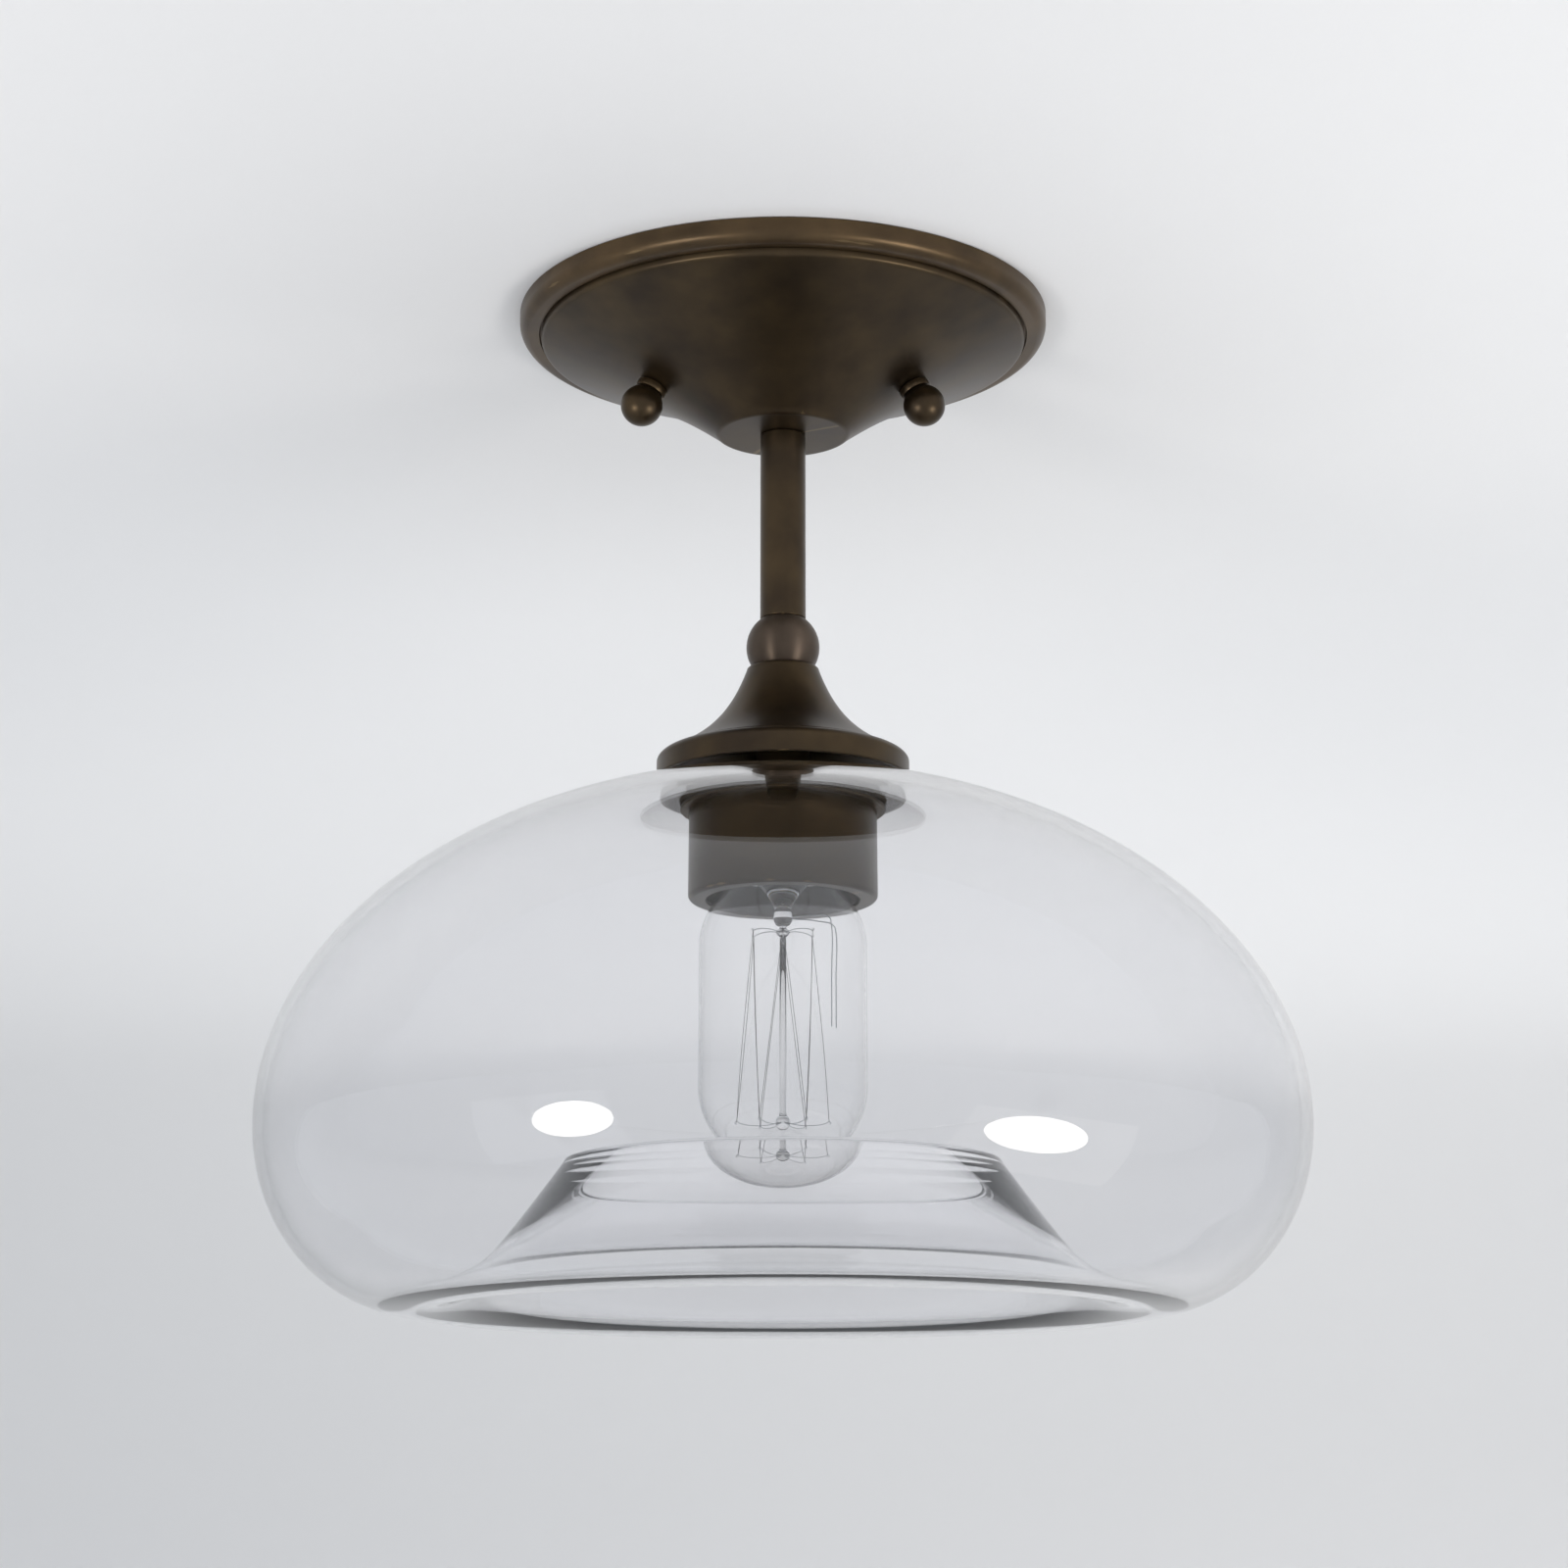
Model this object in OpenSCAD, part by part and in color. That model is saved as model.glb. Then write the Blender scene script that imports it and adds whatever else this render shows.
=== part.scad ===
// Ceiling light with a dished canopy, a short stem and a clear globe shade.
// The ceiling is the plane z = 0 and the light hangs below it. Lengths are in millimetres.

/* [Canopy] */
// Width of the trim ring beyond the dish
ring_w = 6.2; // [5:0.1:10]
// Height of the trim ring below the ceiling
ring_h = 6.4; // [6:0.1:9]
// Thickness of the spun sheet of ring, dish and bell
sheet = 1.2; // [0.9:0.1:1.5]
// Diameter of the dish inside the trim ring
dish_d = 140.2; // [130:0.2:142]
// Depth of the dish's flat centre below the ceiling
dish_drop = 35.3; // [32:0.1:42]
// Diameter of the dish's flat centre
dish_flat_d = 38; // [34:0.5:44]
// Slope of the dish near its edge, in degrees
edge_slope = 22; // [18:1:26]
// Slope of the dish beside its flat centre, in degrees
hub_slope = 36; // [32:1:40]

/* [Ball screws] */
// Diameter of the ball heads
ball_d = 12; // [10:0.5:14]
// Distance from the light's axis to where a screw crosses the dish
nut_r = 38; // [34:0.5:44]
// Angle by which the screws stand forward of the side-to-side line
nut_forward = 11.3; // [0:0.1:20]
// Tilt of the screws towards the light's axis, in degrees
nut_tilt = 27; // [20:1:30]
// Diameter of the collar under each ball
nut_collar_d = 8.9; // [8:0.1:11]
// Height of the collar under each ball
nut_collar_h = 2.1; // [1.6:0.1:3]
// Diameter of the screw shanks
shank_d = 4.17; // [3.5:0.01:5]
// Length of a shank above its collar
shank_l = 20.5; // [18:0.1:21]
// Thickness of the push-on washer that keeps each screw with the canopy
keeper_t = 0.6; // [0.4:0.1:1]

/* [Ceiling bracket] */
// Thickness of the strap that bolts to the ceiling box
box_strap_t = 1.2; // [1:0.1:1.6]
// Length of the strap beyond its outermost screw at each end
strap_end = 7.6; // [6:0.1:11]
// Width of the strap that bolts to the ceiling box
box_strap_w = 20; // [16:1:26]
// Smallest spacing of the box screws that the slots take
box_pitch_min = 69.9; // [60:0.1:76]
// Largest spacing of the box screws
box_pitch_max = 88.9; // [82:0.1:92]
// Width of the box screw slots
slot_w = 4.6; // [4.4:0.1:6]
// Thickness of the bracket that the ball screws thread into
bracket_t = 1.6; // [1.2:0.1:2]
// Width of the bracket
bracket_w = 30; // [26:1:34]
// Thickness of the tapped ears
ear_t = 2; // [1.6:0.1:3]
// Distance along a screw from the dish to its ear
ear_reach = 12; // [10.5:0.1:13]

/* [Stem] */
// Diameter of the stem tube
stem_d = 13; // [12:0.1:16]
// Length of the stem tube
stem_l = 55.3; // [30:0.1:120]
// Diameter of the threaded nipples
nipple_d = 10; // [8:0.1:10.4]
// Bore of the threaded nipples
nipple_bore_d = 7.4; // [6:0.1:8]
// Length of nipple screwed into each end of the stem
nipple_grip = 12; // [8:0.5:14]
// Diameter of the ball coupling
coupling_d = 20.8; // [18:0.1:24]
// Distance from the coupling's centre to its upper flat
coupling_up = 8.3; // [7:0.1:8.8]
// Distance from the coupling's centre to its lower flat
coupling_down = 6.2; // [5:0.1:7.5]

/* [Bell cap] */
// Diameter of the bell's rim
bell_d = 71.2; // [66:0.2:80]
// Height of the bell
bell_h = 32.5; // [30:0.1:38]
// Diameter of the bell's top face
bell_top_d = 20.4; // [20:0.1:24]
// Height of the shoulder under the top face
bell_shoulder_h = 1; // [0.6:0.1:2]
// Diameter of the fine line where the cove ends
crease_d = 61.6; // [58:0.2:64]
// Height of the band above the rim, rounding included
rim_band_h = 7.8; // [7:0.1:9]
// Height of the straight part of that band
rim_wall_h = 4.9; // [4:0.1:6]
// Diameter of the spacer tube inside the bell
spacer_d = 15; // [13:0.5:18]
// Diameter of the stepped collar under the spacer
collar_d = 17.4; // [16:0.2:22]
// Height of the stepped collar
collar_h = 2.6; // [2:0.1:4]
// Height of bell rim that hides the top of the stepped collar
collar_recess = 3.7; // [2:0.1:6]

/* [Shade] */
// Diameter of the shade at its widest
shade_d = 288.2; // [270:0.2:310]
// Height of the dome above the widest line, if it ran to the axis
dome_h = 98.9; // [90:0.1:110]
// Radius of the lowest line of the shade
heel_r = 100; // [92:0.5:106]
// Depth from the widest line to the lowest line
heel_drop = 50.3; // [46:0.1:56]
// Thickness of the glass
glass_t = 3; // [2.5:0.1:3.5]
// Thickness of the glass at the lowest line
heel_t = 5.8; // [5:0.1:7]
// Diameter of the hole in the top of the dome
hole_d = 41.2; // [36:0.2:46]
// Diameter of the opening in the bottom, at the raised rim
mouth_d = 114; // [100:0.5:120]
// Height of the raised rim above the lowest line
rim_rise = 41.3; // [36:0.1:46]
// Slope of the folded-in cone, in degrees
cone_slope = 55; // [50:1:58]
// Fillet of the trough between belly and cone, as a share of the outer fold's radius
trough_share = 0.48; // [0.3:0.02:0.6]

/* [Seat and cup] */
// Drop from the bell's rim to the top of the seat plate
seat_drop = 5.6; // [5:0.1:10]
// Diameter of the seat plate that carries the shade
plate_d = 58.4; // [56:0.2:66]
// Thickness of the seat plate
plate_t = 1; // [0.8:0.1:2]
// Thickness of the gasket at its outer edge
gasket_t = 0.4; // [0.3:0.1:1]
// Width of the gasket
gasket_w = 3.4; // [2:0.1:5]
// Diameter of the cup
cup_d = 53.2; // [50:0.2:56]
// Height of the cup
cup_h = 27; // [26:0.1:34]
// Thickness of the cup's wall
cup_wall = 1; // [0.8:0.1:1.4]
// Diameter of the cup's mouth inside its turned-in lip
cup_mouth_d = 43.4; // [42:0.2:45]
// Radius of the rounded lip
lip_r = 1.6; // [1.2:0.1:2]

/* [Lampholder] */
// Thickness of the tapped bridge plate on the nipple
bridge_t = 1.2; // [1:0.1:1.4]
// Outer diameter of the porcelain ring
porcelain_d = 40; // [38:0.2:41]
// Height of the porcelain ring
porcelain_h = 16.5; // [15:0.5:17]
// Diameter of the screw shell's crests
shell_d = 26.8; // [26.6:0.1:27.2]
// Pitch of the lamp thread
lamp_pitch = 3.63; // [3.4:0.01:3.8]
// Thickness of shell and contact sheet
contact_t = 0.4; // [0.3:0.1:0.5]
// Diameter of the two screws through the porcelain
holder_screw_d = 2.9; // [2.4:0.1:3]

/* [Bulb] */
// Diameter of the bulb's glass
bulb_d = 46.8; // [42:0.2:50]
// Length of the bulb's glass below its cap
bulb_l = 85.2; // [80:0.2:100]
// Length from the bulb's cap to where the glass reaches full width
shoulder_l = 21; // [18:0.1:26]
// Thickness of the bulb's glass
bulb_t = 0.8; // [0.6:0.1:1]
// Outer diameter of the cap's thread
cap_d = 26; // [25.6:0.1:26.2]
// Length of the cap's threaded shell
cap_l = 12.6; // [11:0.1:13]
// Depth of the cap's thread
cap_thread = 0.7; // [0.4:0.1:0.9]
// Number of filament strands down and up
strands = 12; // [8:2:16]
// Radius of the filament cage at the top
cage_top_r = 9.3; // [8:0.1:12]
// Radius of the filament cage at the bottom
cage_low_r = 12.5; // [10:0.1:14]
// Distance between the top and bottom hooks
cage_l = 54; // [40:0.5:60]
// Diameter drawn for the filament
filament_d = 0.3; // [0.2:0.05:0.4]

/* [Leads] */
// Diameter of an insulated lead
lead_d = 2.2; // [1.6:0.1:2.4]
// Diameter of the wire connectors' open end
connector_d = 11; // [9:0.5:12.5]
// Length of the wire connectors
connector_l = 22; // [18:0.5:26]

/* [Hidden] */

$fn = 96;
// Radial clearance of a thread or a shaft in its hole
run_gap = 0.05;
// Gap between two pieces that move past each other
free_gap = 0.3;
// Hexagon of the nut inside the canopy
nut_flats = 14;
nut_h = 4;
washer_t = 1.2;
washer_d = 20;

// Colours seen in the object
bronze = [0.17, 0.12, 0.09];
zinc = [0.72, 0.73, 0.74];
brass = [0.80, 0.62, 0.30];
clear = [0.86, 0.91, 0.93, 0.35];

// Heights of the stack, counted down from the ceiling
z_dish = -dish_drop;
z_stem = z_dish - stem_l;
z_ball = z_stem - coupling_up;
z_bell = z_ball - coupling_down;
z_bell_rim = z_bell - bell_h;
z_plate = z_bell_rim - seat_drop;
z_cup = z_plate - plate_t;
z_mouth = z_cup - cup_h;
z_bridge = z_cup - cup_wall;
z_disc = z_bridge - bridge_t - 0.1;
disc_t = 0.4;
z_contact = z_disc - disc_t;
z_tip = z_contact - contact_t - run_gap;
tip_h = 1;
insulator_h = 1.6;
z_cap = z_tip - tip_h - insulator_h;
z_neck = z_cap - cap_l;

// Point on a cubic curve with end points a and d and handles b and c
function bez(a, b, c, d, t) =
    a*pow(1 - t, 3) + 3*b*t*pow(1 - t, 2) + 3*c*t*t*(1 - t) + d*pow(t, 3);
function bez_slope(a, b, c, d, t) =
    3*(b - a)*pow(1 - t, 2) + 6*(c - b)*t*(1 - t) + 3*(d - c)*t*t;
function unit(v) = v/norm(v);
// The same curve moved sideways by k, to the left of its direction
function bez_off(a, b, c, d, t, k) =
    let (s = unit(bez_slope(a, b, c, d, t))) bez(a, b, c, d, t) + k*[-s[1], s[0]];
function arc(c, rx, ry, a0, a1, n) =
    [for (i = [0:n]) let (a = a0 + (a1 - a0)*i/n) c + [rx*cos(a), ry*sin(a)]];

canopy_d = dish_d + 2*ring_w;
// Dish curve, from its edge to its flat centre
edge_r = 1.1;
edge_h = 2.7;
dish_r = dish_d/2;
ring_groove = 0.6;
z_dish_edge = -ring_h + ring_groove;
dish_a = [dish_r - edge_r, z_dish_edge - edge_h];
dish_z = [dish_flat_d/2 + 1, z_dish + 1.1];
dish_span = dish_a[0] - dish_z[0];
dish_b = dish_a + 0.45*dish_span*[-1, -tan(edge_slope)];
dish_c = dish_z + 0.37*dish_span*[1, tan(hub_slope)];
function dish_at(t) = bez(dish_a, dish_b, dish_c, dish_z, t);
function dish_t_of(r, lo = 0, hi = 1, n = 24) =
    n == 0 ? (lo + hi)/2 :
    let (m = (lo + hi)/2) dish_at(m)[0] > r ? dish_t_of(r, m, hi, n - 1) : dish_t_of(r, lo, m, n - 1);
nut_z = dish_at(dish_t_of(nut_r))[1];

// Shade curves: the dome and belly are quarter ellipses, the wall lies inside them
shade_r = shade_d/2;
belly_r = shade_r - heel_r;
function dome_in(r) = (dome_h - glass_t)*sqrt(1 - pow(r/(shade_r - glass_t), 2));
gasket_r = plate_d/2 - 0.2;
z_belly = z_plate + gasket_t + free_gap - dome_in(gasket_r);
z_heel = z_belly - heel_drop;
z_rim = z_heel + rim_rise;
mouth_r = mouth_d/2;
rim_r = glass_t/2;
z_rim_end = z_rim - rim_r;
// Radius of the outer fold that brings the straight cone to the rim
fold_r = (heel_r - mouth_r - (z_rim_end - z_heel)/tan(cone_slope))
    / (sin(cone_slope) - (1 - cos(cone_slope))/tan(cone_slope));
trough_r = trough_share*fold_r;
z_floor = z_heel + heel_t;
cone_in = mouth_r + glass_t/sin(cone_slope);
trough_in = cone_in + trough_r*sin(cone_slope)
    + (z_rim_end - z_floor - trough_r*(1 - cos(cone_slope)))/tan(cone_slope);

// Bulb heights
bulb_r = bulb_d/2;
z_bulb_tip = z_neck - bulb_l;
z_full = z_neck - shoulder_l;
z_round = z_bulb_tip + bulb_r;
mount_l = 16;
z_mount = z_neck - mount_l;
z_hooks = z_mount - 2;
z_low_hooks = z_hooks - cage_l;

// Swept tube along points p, as one closed skin
function tangent(p, i) = let (n = len(p) - 1)
    i == 0 ? unit(p[1] - p[0]) : i == n ? unit(p[n] - p[n - 1]) :
    unit(unit(p[i] - p[i - 1]) + unit(p[i + 1] - p[i]));
function carry(n, t) = unit(n - (n*t)*t);
function normals(p, start, i = 0, out = []) = i == len(p) ? out :
    normals(p, start, i + 1,
        concat(out, [carry(i == 0 ? start : out[i - 1], tangent(p, i))]));
module tube(p, r, sides = 8, start = [0.31, 0.95, 0.05]) {
    ns = normals(p, start);
    n = len(p);
    ring = [for (i = [0:n - 1]) let (u = ns[i], v = cross(tangent(p, i), u))
        for (k = [0:sides - 1]) p[i] + r*(cos(360*k/sides)*u + sin(360*k/sides)*v)];
    sides_f = [for (i = [0:n - 2]) for (k = [0:sides - 1]) let (m = (k + 1) % sides)
        [i*sides + k, (i + 1)*sides + k, (i + 1)*sides + m, i*sides + m]];
    polyhedron(ring, concat(sides_f, [[for (k = [0:sides - 1]) k]],
        [[for (k = [sides - 1:-1:0]) (n - 1)*sides + k]]), convexity = 10);
}
// Points along a smooth path through the corners q, rounded by cutting each corner
function smooth(q, n = 5) = [for (i = [0:len(q) - 1])
    if (i == 0 || i == len(q) - 1) q[i]
    else each [for (k = [0:n]) let (t = k/n, a = (q[i - 1] + q[i])/2, c = (q[i] + q[i + 1])/2)
        if (k > 0 || i == 1) a*pow(1 - t, 2) + 2*q[i]*t*(1 - t) + c*t*t]];

// Places a piece on the axis of a ball screw: local z runs up through the dish
module at_screw(side) {
    phi = side > 0 ? -nut_forward : 180 + nut_forward;
    translate([nut_r*cos(phi), nut_r*sin(phi), nut_z])
        rotate([0, 0, phi]) rotate([0, -nut_tilt, 0]) children();
}

module slot(pitch_a, pitch_b, w, h) {
    translate([0, pitch_a/2, 0]) cylinder(d = w, h = h, center = true);
    translate([0, pitch_b/2, 0]) cylinder(d = w, h = h, center = true);
    translate([0, (pitch_a + pitch_b)/4, 0])
        cube([w, (pitch_b - pitch_a)/2, h], center = true);
}

module box_strap() {
    color(zinc) difference() {
        translate([-box_strap_w/2, -box_strap_l/2, -box_strap_t])
            cube([box_strap_w, box_strap_l, box_strap_t]);
        for (s = [0, 180]) rotate([0, 0, s]) slot(box_pitch_min, box_pitch_max, slot_w, 4*box_strap_t);
        cylinder(r = rivet_r + run_gap, h = 4*box_strap_t, center = true);
    }
}

box_strap_l = box_pitch_max + 2*strap_end;
rivet_r = 4;
z_bracket = -box_strap_t;
arm_x = nut_r + 6;
ear_w = 15;
ear_l = 17;
ground_x = 22;
ground_y = 9;
ground_d = 4.8;

// Sloped leg from the flat plate down to a tapped ear
module bracket_leg(side) {
    phi = side > 0 ? -nut_forward : 180 + nut_forward;
    hull() {
        at_screw(side) translate([ear_l/2 - 2, -ear_w/2 + 1, ear_reach + 0.2])
            cube([1.6, ear_w - 2, ear_t - 0.4]);
        rotate([0, 0, phi]) translate([arm_x - 2, -ear_w/2 + 1, z_bracket - bracket_t + 0.2])
            cube([1.6, ear_w - 2, bracket_t - 0.4]);
    }
}

module canopy_bracket() {
    color(zinc) difference() {
        union() {
            translate([0, 0, z_bracket - bracket_t]) linear_extrude(height = bracket_t) {
                square([2*arm_x - 12, bracket_w], center = true);
                rotate([0, 0, -nut_forward]) translate([arm_x - 16, -ear_w/2]) square([16, ear_w]);
                rotate([0, 0, 180 + nut_forward]) translate([arm_x - 16, -ear_w/2])
                    square([16, ear_w]);
            }
            for (side = [-1, 1]) {
                at_screw(side) translate([-ear_l/2, -ear_w/2, ear_reach])
                    cube([ear_l, ear_w, ear_t]);
                bracket_leg(side);
            }
        }
        for (side = [-1, 1]) at_screw(side) translate([0, 0, ear_reach - 1])
            cylinder(d = shank_d + 2*run_gap, h = ear_t + 2);
        translate([0, 0, z_bracket - 2*bracket_t]) cylinder(r = rivet_r + run_gap, h = 4*bracket_t);
        translate([ground_x, ground_y, z_bracket - 2*bracket_t])
            cylinder(d = ground_d + 2*run_gap, h = 4*bracket_t);
    }
}

module swivel_rivet() {
    rivet_head = 0.8;
    color(zinc) difference() {
        union() {
            translate([0, 0, z_bracket - bracket_t]) cylinder(r = rivet_r, h = box_strap_t + bracket_t - 0.2);
            translate([0, 0, z_bracket - bracket_t - rivet_head]) cylinder(r = rivet_r + 2, h = rivet_head);
        }
        translate([0, 0, -20]) cylinder(r = rivet_r - 1, h = 30);
    }
}

module ground_screw() {
    color([0.16, 0.42, 0.2]) translate([ground_x, ground_y, z_bracket - bracket_t]) {
        difference() {
            rotate_extrude() polygon(concat([[0, 0]], arc([0, 0], ground_head_r, 2.4, 0, -90, 10)));
            translate([-5, -0.5, -3]) cube([10, 1, 1.5]);
        }
        cylinder(d = ground_d, h = bracket_t + box_strap_t - 0.4);
    }
}

module trim_ring() {
    ro = canopy_d/2;
    roll = 3.3;
    shelf = dish_r + 0.5;
    color(bronze) rotate_extrude($fn = 128) polygon(concat(
        [[ro, 0]],
        arc([ro - roll, -ring_h + roll], roll, roll, 0, -82, 10),
        [[shelf, -ring_h], [shelf, z_dish_edge], [dish_r - 6, z_dish_edge],
         [dish_r - 6, z_dish_edge + sheet], [shelf + sheet, z_dish_edge + sheet]],
        arc([ro - roll, -ring_h + roll], roll - sheet, roll - sheet, -60, 0, 7),
        [[ro - sheet, 0]]));
}

module canopy_dish() {
    n = 28;
    outer = [for (i = [0:n]) dish_at(i/n)];
    inner = [for (i = [0:n]) bez_off(dish_a, dish_b, dish_c, dish_z, i/n, -sheet)];
    nipple_r = nipple_d/2 + run_gap;
    color(bronze) difference() {
        rotate_extrude($fn = 128) polygon(concat(
            [[dish_r, z_dish_edge], [dish_r, z_dish_edge - 1.6]],
            [[dish_r - 0.4, z_dish_edge - edge_h + 0.35]],
            outer,
            arc([dish_flat_d/2 - 1, z_dish + 1.4], 1.8, 1.4, -40, -90, 5),
            [[nipple_r, z_dish], [nipple_r, z_dish + sheet]],
            [[dish_flat_d/2 - 1.2, z_dish + sheet]],
            [for (i = [n:-1:0]) inner[i]],
            [[dish_r - 2.2, z_dish_edge]]));
        for (side = [-1, 1]) at_screw(side) translate([0, 0, -3]) cylinder(r = shank_d/2 + free_gap, h = 8);
    }
}

// Ball, collar and shank, drawn on the screw's own axis
module ball_screw() {
    ball_r = ball_d/2;
    z_col = -free_gap - nut_collar_h;
    drop = sqrt(pow(ball_r, 2) - pow(3.4, 2));
    color(bronze) {
        difference() {
            translate([0, 0, z_col - drop]) sphere(r = ball_r, $fn = 64);
            translate([0, 0, z_col]) cylinder(r = ball_r, h = ball_r);
        }
        translate([0, 0, z_col]) rotate_extrude() polygon([[0, 0], [nut_collar_d/2 - 0.4, 0],
            [nut_collar_d/2, 0.4], [nut_collar_d/2, nut_collar_h - 0.4],
            [nut_collar_d/2 - 0.4, nut_collar_h], [0, nut_collar_h]]);
        translate([0, 0, -free_gap]) cylinder(d = shank_d, h = shank_l + free_gap - 0.8);
        translate([0, 0, shank_l - 0.8]) cylinder(r1 = shank_d/2, r2 = shank_d/2 - 0.8, h = 0.8);
    }
}

module left_ball_screw() { at_screw(-1) ball_screw(); }
module right_ball_screw() { at_screw(1) ball_screw(); }

// Push-on washer, just below the ear, that stays on its screw
module keeper() {
    color(zinc) translate([0, 0, ear_reach - free_gap - keeper_t]) difference() {
        cylinder(d = nut_collar_d, h = keeper_t);
        translate([0, 0, -1]) cylinder(d = shank_d + 2*run_gap, h = keeper_t + 2);
    }
}
module left_keeper() { at_screw(-1) keeper(); }
module right_keeper() { at_screw(1) keeper(); }

module nipple(z_low, z_high, c) {
    color(c) difference() {
        translate([0, 0, z_low]) rotate_extrude() polygon([[0, 0], [nipple_d/2 - 0.6, 0],
            [nipple_d/2, 0.6], [nipple_d/2, z_high - z_low - 0.6],
            [nipple_d/2 - 0.6, z_high - z_low], [0, z_high - z_low]]);
        translate([0, 0, z_low - 1]) cylinder(d = nipple_bore_d, h = z_high - z_low + 2);
    }
}

module canopy_nipple() {
    nipple(z_dish - nipple_grip, z_dish + sheet + washer_t + nut_h + 1.5, brass);
}

module canopy_washer() {
    color(zinc) translate([0, 0, z_dish + sheet]) difference() {
        cylinder(d = washer_d, h = washer_t);
        translate([0, 0, -1]) cylinder(d = nipple_d + 2*run_gap, h = washer_t + 2);
    }
}

module canopy_nut() {
    color(zinc) translate([0, 0, z_dish + sheet + washer_t]) difference() {
        intersection() {
            cylinder(d = nut_flats/cos(30), h = nut_h, $fn = 6);
            cylinder(r1 = nut_flats/2 - 0.1, r2 = nut_flats/2 + 6, h = nut_h + 2);
        }
        translate([0, 0, -1]) cylinder(d = nipple_d + 2*run_gap, h = nut_h + 2);
    }
}

module stem_tube() {
    color(bronze) difference() {
        translate([0, 0, z_stem]) rotate_extrude() polygon([[0, 0], [stem_d/2 - 0.3, 0],
            [stem_d/2, 0.3], [stem_d/2, stem_l - 0.3], [stem_d/2 - 0.3, stem_l], [0, stem_l]]);
        translate([0, 0, z_stem - 1]) cylinder(d = nipple_d + 2*run_gap, h = stem_l + 2);
    }
}

module ball_coupling() {
    color(bronze) difference() {
        translate([0, 0, z_ball]) sphere(d = coupling_d);
        translate([0, 0, z_ball + coupling_up]) cylinder(d = coupling_d, h = coupling_d);
        translate([0, 0, z_ball - coupling_down - coupling_d]) cylinder(d = coupling_d, h = coupling_d);
        translate([0, 0, z_ball - coupling_d]) cylinder(d = nipple_d + 2*run_gap, h = 2*coupling_d);
    }
}

// Bell outline: cove, fine crease, rounded band, straight rim
bell_r = bell_d/2;
cove_a = [bell_top_d/2 + 0.2, z_bell - bell_shoulder_h];
cove_d = [crease_d/2, z_bell_rim + rim_band_h + 0.4];
cove_b = cove_a + [4.2, -11.2];
cove_c = cove_d + [-10.8, 5.6];
module bell_cap() {
    n = 20;
    band = rim_band_h - rim_wall_h;
    band_w = bell_r - crease_d/2;
    color(bronze) rotate_extrude($fn = 128) polygon(concat(
        [[nipple_d/2 + run_gap, z_bell], [bell_top_d/2 - 0.3, z_bell],
         [bell_top_d/2, z_bell - 0.3]],
        [for (i = [0:n]) bez(cove_a, cove_b, cove_c, cove_d, i/n)],
        arc([crease_d/2, z_bell_rim + rim_wall_h], band_w, band, 90, 0, 8),
        [[bell_r, z_bell_rim + 0.3], [bell_r - 0.3, z_bell_rim],
         [bell_r - sheet, z_bell_rim]],
        arc([crease_d/2, z_bell_rim + rim_wall_h], band_w - sheet, band - sheet + 0.1, 0, 90, 6),
        [for (i = [n:-1:2]) bez_off(cove_a, cove_b, cove_c, cove_d, i/n, -sheet)],
        [[bell_top_d/2 - sheet + 0.4, z_bell - bell_shoulder_h - sheet],
         [nipple_d/2 + run_gap, z_bell - bell_shoulder_h - sheet]]));
}

z_spacer_top = z_bell - bell_shoulder_h - sheet;
z_collar = z_bell_rim + collar_recess;
module bell_spacer() {
    color(bronze) translate([0, 0, z_collar]) difference() {
        cylinder(d = spacer_d, h = z_spacer_top - z_collar);
        translate([0, 0, -1]) cylinder(d = nipple_d + 2*run_gap, h = z_spacer_top - z_collar + 2);
    }
}

module stepped_collar() {
    h = collar_h/2;
    color(bronze) translate([0, 0, z_collar - collar_h]) difference() {
        rotate_extrude() polygon([[0, 0], [collar_d/2 - 2.2, 0], [collar_d/2 - 1.8, 0.3],
            [collar_d/2 - 1.8, h - 0.4], [collar_d/2 - 0.5, h - 0.3], [collar_d/2, h + 0.2],
            [collar_d/2, 2*h - 0.4], [collar_d/2 - 0.4, 2*h], [0, 2*h]]);
        translate([0, 0, -1]) cylinder(d = nipple_d + 2*run_gap, h = collar_h + 2);
    }
}

module lower_nipple() {
    nipple(z_bridge - bridge_t, z_stem + nipple_grip, bronze);
}

module glass_shade() {
    hole_r = hole_d/2;
    ax = shade_r - glass_t;
    bx = dome_h - glass_t;
    a_out = acos(hole_r/shade_r);
    a_in = acos(hole_r/ax);
    mid = [(mouth_r + cone_in)/2, z_rim_end];
    low = heel_drop - glass_t;
    color(clear) rotate_extrude($fn = 160) polygon(concat(
        arc([0, z_belly], shade_r, dome_h, a_out, 0, 30),
        [for (i = [1:18]) [heel_r + belly_r*cos(5*i), z_belly - heel_drop*sin(5*i)]],
        [for (i = [1:8]) let (a = cone_slope*i/8)
            [heel_r - fold_r*sin(a), z_heel + fold_r*(1 - cos(a))]],
        [for (i = [0:8]) let (a = 180 - cone_slope/2 + 180 - 22.5*i)
            mid + glass_t/2/sin(cone_slope)*[cos(22.5*i)*-1, 0]
            + rim_r*[0, sin(22.5*i)]],
        [for (i = [8:-1:0]) let (a = cone_slope*i/8)
            [trough_in - trough_r*sin(a), z_floor + trough_r*(1 - cos(a))]],
        [for (i = [15:-1:0]) let (a = asin((z_belly - z_floor)/low)*i/15)
            [heel_r + (belly_r - glass_t)*cos(a), z_belly - low*sin(a)]],
        [for (i = [1:28]) let (a = a_in*i/28) [ax*cos(a), z_belly + bx*sin(a)]]));
}

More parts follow.
